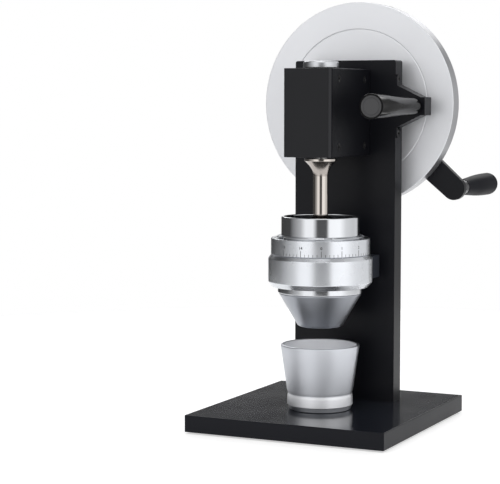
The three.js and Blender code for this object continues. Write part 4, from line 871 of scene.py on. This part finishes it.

# Dosing cup: satin turned aluminium, blasted inside, with a tapered wall, a shallow waist above
# its foot band and a rounded rim. The inside and the foot band carry painted light. It stands
# loose on the base under the outlet.

cup = turned("cup_turned", [
    (0, 19.8), (32.6, 19.8, 1.2), (34.0, 24.2), (34.85, 25.0, 0.4), (34.6, 33.4), (34.45, 34.8),
    (34.1, 36.6), (34.3, 38.2), (34.95, 39.8), (42, 88.5, 1.2),
    (39, 88.5, 1.2), (31.6, 37.4, 8), (31.6, 24.3, 5), (0, 24.3),
])
cup_finish, cup_shader = surface(
    "satin turned cup aluminium", (0.7, 0.72, 0.765), 1.0, (0.42, 0.39, 0.45), (0.3, 0.03), 25,
    strength=0.5, detail=4,
)
turned_sheen(cup_finish, cup_shader, 0.75)
install(cup, cup_finish, "cup", "blasted_aluminium", "cup")
# The inside gets a paler, less metallic copy of the cup's metal: painted light against the shade
# inside the cup; its blasted grain is real.
inner_painted_light, _ = surface(
    "blasted cup inside, painted light", (0.94, 0.95, 0.98), 0.25, (0.5, 0.45, 0.55), (1.2, 0.03), 25,
    stretch=(30, 30, 1), strength=0.6,
)
# The foot band gets a lighter copy of the cup's metal: painted light for the brightness the band
# shows; it is turned like the wall.
band_painted_light, _ = surface(
    "turned foot band, painted light", (0.9, 0.91, 0.94), 0.8, (0.4, 0.37, 0.43), (0.3, 0.02), 25,
    strength=0.5, detail=4,
)
cup_axis = Vector((0, SPINDLE_Y * MM))


def inside_cup(face):
    inward = (cup_axis - face.center.xy).dot(face.normal.xy) > 0
    return face.center.z < 88 * MM and (inward or face.normal.z > 0.7)


def on_foot_band(face):
    return not inside_cup(face) and 24.4 * MM < face.center.z < 36.6 * MM


refinish(cup, inner_painted_light, inside_cup)
refinish(cup, band_painted_light, on_foot_band)

# Floor, studio and camera: a white floor, and soft boxes left and right, above in front and high
# behind, with dark gaps between, which the metals mirror. The camera itself sees plain white.

FLOOR_GLOW = 0.5


def seen_straight(material):
    # 1 where the camera looks straight at it, or through clear material
    light_paths = add_node(material, "ShaderNodeLightPath")
    straight = add_node(material, "ShaderNodeMath", {
        0: light_paths.outputs["Is Camera Ray"], 1: light_paths.outputs["Is Transmission Ray"],
    }, operation="MAXIMUM")
    return light_paths, straight.outputs["Value"]


floor_finish, floor_shader = finish_of("white floor", (0.8, 0.8, 0.8), 0.6, 0)
floor_shader.inputs["Specular IOR Level"].default_value = 0.1
floor_paths, floor_seen = seen_straight(floor_finish)
floor_shown = add_node(floor_finish, "ShaderNodeMath", {
    0: floor_seen, 1: floor_paths.outputs["Is Glossy Ray"],
}, operation="MAXIMUM")
floor_strength = add_node(floor_finish, "ShaderNodeMath", {
    0: floor_shown.outputs["Value"], 1: FLOOR_GLOW,
}, operation="MULTIPLY")
floor_shader.inputs["Emission Color"].default_value = (1, 1, 1, 1)
floor_finish.node_tree.links.new(
    floor_strength.outputs["Value"], floor_shader.inputs["Emission Strength"],
)
bpy.ops.object.select_all(action="DESELECT")
bpy.ops.mesh.primitive_circle_add(vertices=96, radius=1.0, fill_type="NGON", location=(0, 0, 0))
floor = bpy.context.object
floor.name = "floor"
floor.data.materials.append(floor_finish)

# Directions in degrees round from the front right, with the studio's brightness there
STUDIO_FRONT = -66.6
studio_levels = [
    (-180, 1.0), (-170, 1.0), (-163, 0.06), (-100, 0.08), (-86, 0.3), (-60, 0.65), (-44, 1.3),
    (-22, 1.3), (-9, 0.12), (18, 0.12), (26, 1.4), (58, 1.45), (80, 0.95), (110, 0.8),
    (132, 0.85), (138, 0.25), (146, 0.3), (152, 1.0), (180, 1.0),
]
BRIGHTEST = 4.2
CEILING = 0.32
OVER_BACKDROP = 0.09
FRONT_SOFT_BOX = 1.25
REAR_SOFT_BOX = 4.2
world = bpy.data.worlds.new("studio")
bpy.context.scene.world = world
world.use_nodes = True
way = add_node(world, "ShaderNodeTexCoord")
facing = add_node(world, "ShaderNodeMapping", {
    "Vector": way.outputs["Generated"], "Rotation": (0, 0, math.radians(-STUDIO_FRONT)),
})
round_about = add_node(world, "ShaderNodeTexGradient", {
    "Vector": facing.outputs["Vector"],
}, gradient_type="RADIAL")
walls = add_node(world, "ShaderNodeValToRGB", {"Fac": round_about.outputs["Fac"]})
stops = walls.color_ramp.elements
for turn, _ in studio_levels[1:-1]:
    stops.new(0.5 + turn / 360)
for stop, (_, level) in zip(stops, studio_levels):
    stop.color = (level / BRIGHTEST,) * 3 + (1,)
split = add_node(world, "ShaderNodeSeparateXYZ", {"Vector": facing.outputs["Vector"]})
toward_front, upward = split.outputs["X"], split.outputs["Z"]


def fade(value, start, end, share=1.0):
    return add_node(world, "ShaderNodeMapRange", {
        "Value": value, "From Min": start, "From Max": end, "To Max": share,
    }, interpolation_type="SMOOTHSTEP").outputs["Result"]


def lit(share, below, level):
    # sockets 0, 6 and 7 of the node are the share of the new level and the two colours
    return add_node(world, "ShaderNodeMix", {
        0: share, 6: below, 7: (level / BRIGHTEST,) * 3 + (1,),
    }, data_type="RGBA").outputs[2]


ahead = fade(toward_front, 0.15, 0.45)
behind = fade(toward_front, -0.76, -0.84)
around_behind = fade(toward_front, -0.72, -0.84)
panorama = lit(fade(upward, 0.1, 0.3, ahead), walls.outputs["Color"], FRONT_SOFT_BOX)
panorama = lit(fade(upward, 0.1, 0.14, behind), panorama, OVER_BACKDROP)
panorama = lit(fade(upward, 0.3, 0.42, around_behind), panorama, REAR_SOFT_BOX)
panorama = lit(fade(upward, 0.6, 0.9), panorama, CEILING)
studio = world.node_tree.nodes["Background"]
studio.inputs["Strength"].default_value = BRIGHTEST
world.node_tree.links.new(panorama, studio.inputs["Color"])
white = add_node(world, "ShaderNodeBackground", {"Color": (1, 1, 1, 1), "Strength": 1.0})
_, world_seen = seen_straight(world)
either = add_node(world, "ShaderNodeMixShader", {
    0: world_seen, 1: studio.outputs[0], 2: white.outputs[0],
})
world.node_tree.links.new(
    either.outputs[0], world.node_tree.nodes["World Output"].inputs["Surface"],
)

LAMP_PLACE = Vector((0, -0.1, 2.0))
LAMP_AIM = Vector((0, 0, 0.15))
bpy.ops.object.select_all(action="DESELECT")
bpy.ops.object.light_add(type="AREA", location=LAMP_PLACE)
lamp = bpy.context.object
lamp.name = "overhead"
lamp.data.shape = "RECTANGLE"
lamp.data.size, lamp.data.size_y = 1.0, 1.0
lamp.data.energy = 7
lamp.rotation_euler = (LAMP_AIM - LAMP_PLACE).to_track_quat("-Z", "Y").to_euler()

CAMERA_PLACE = Vector((692.5, -1622.4, 343.5))
CAMERA_TILT = 4.81
CAMERA_TURN = 25.84
bpy.ops.object.select_all(action="DESELECT")
bpy.ops.object.camera_add(
    location=CAMERA_PLACE * MM,
    rotation=(math.radians(90 - CAMERA_TILT), 0, math.radians(CAMERA_TURN)),
)
camera = bpy.context.object
camera.data.sensor_width = 36
camera.data.lens = 119.25
camera.data.clip_end = 30
bpy.context.scene.camera = camera
bpy.context.scene.view_settings.view_transform = "Standard"
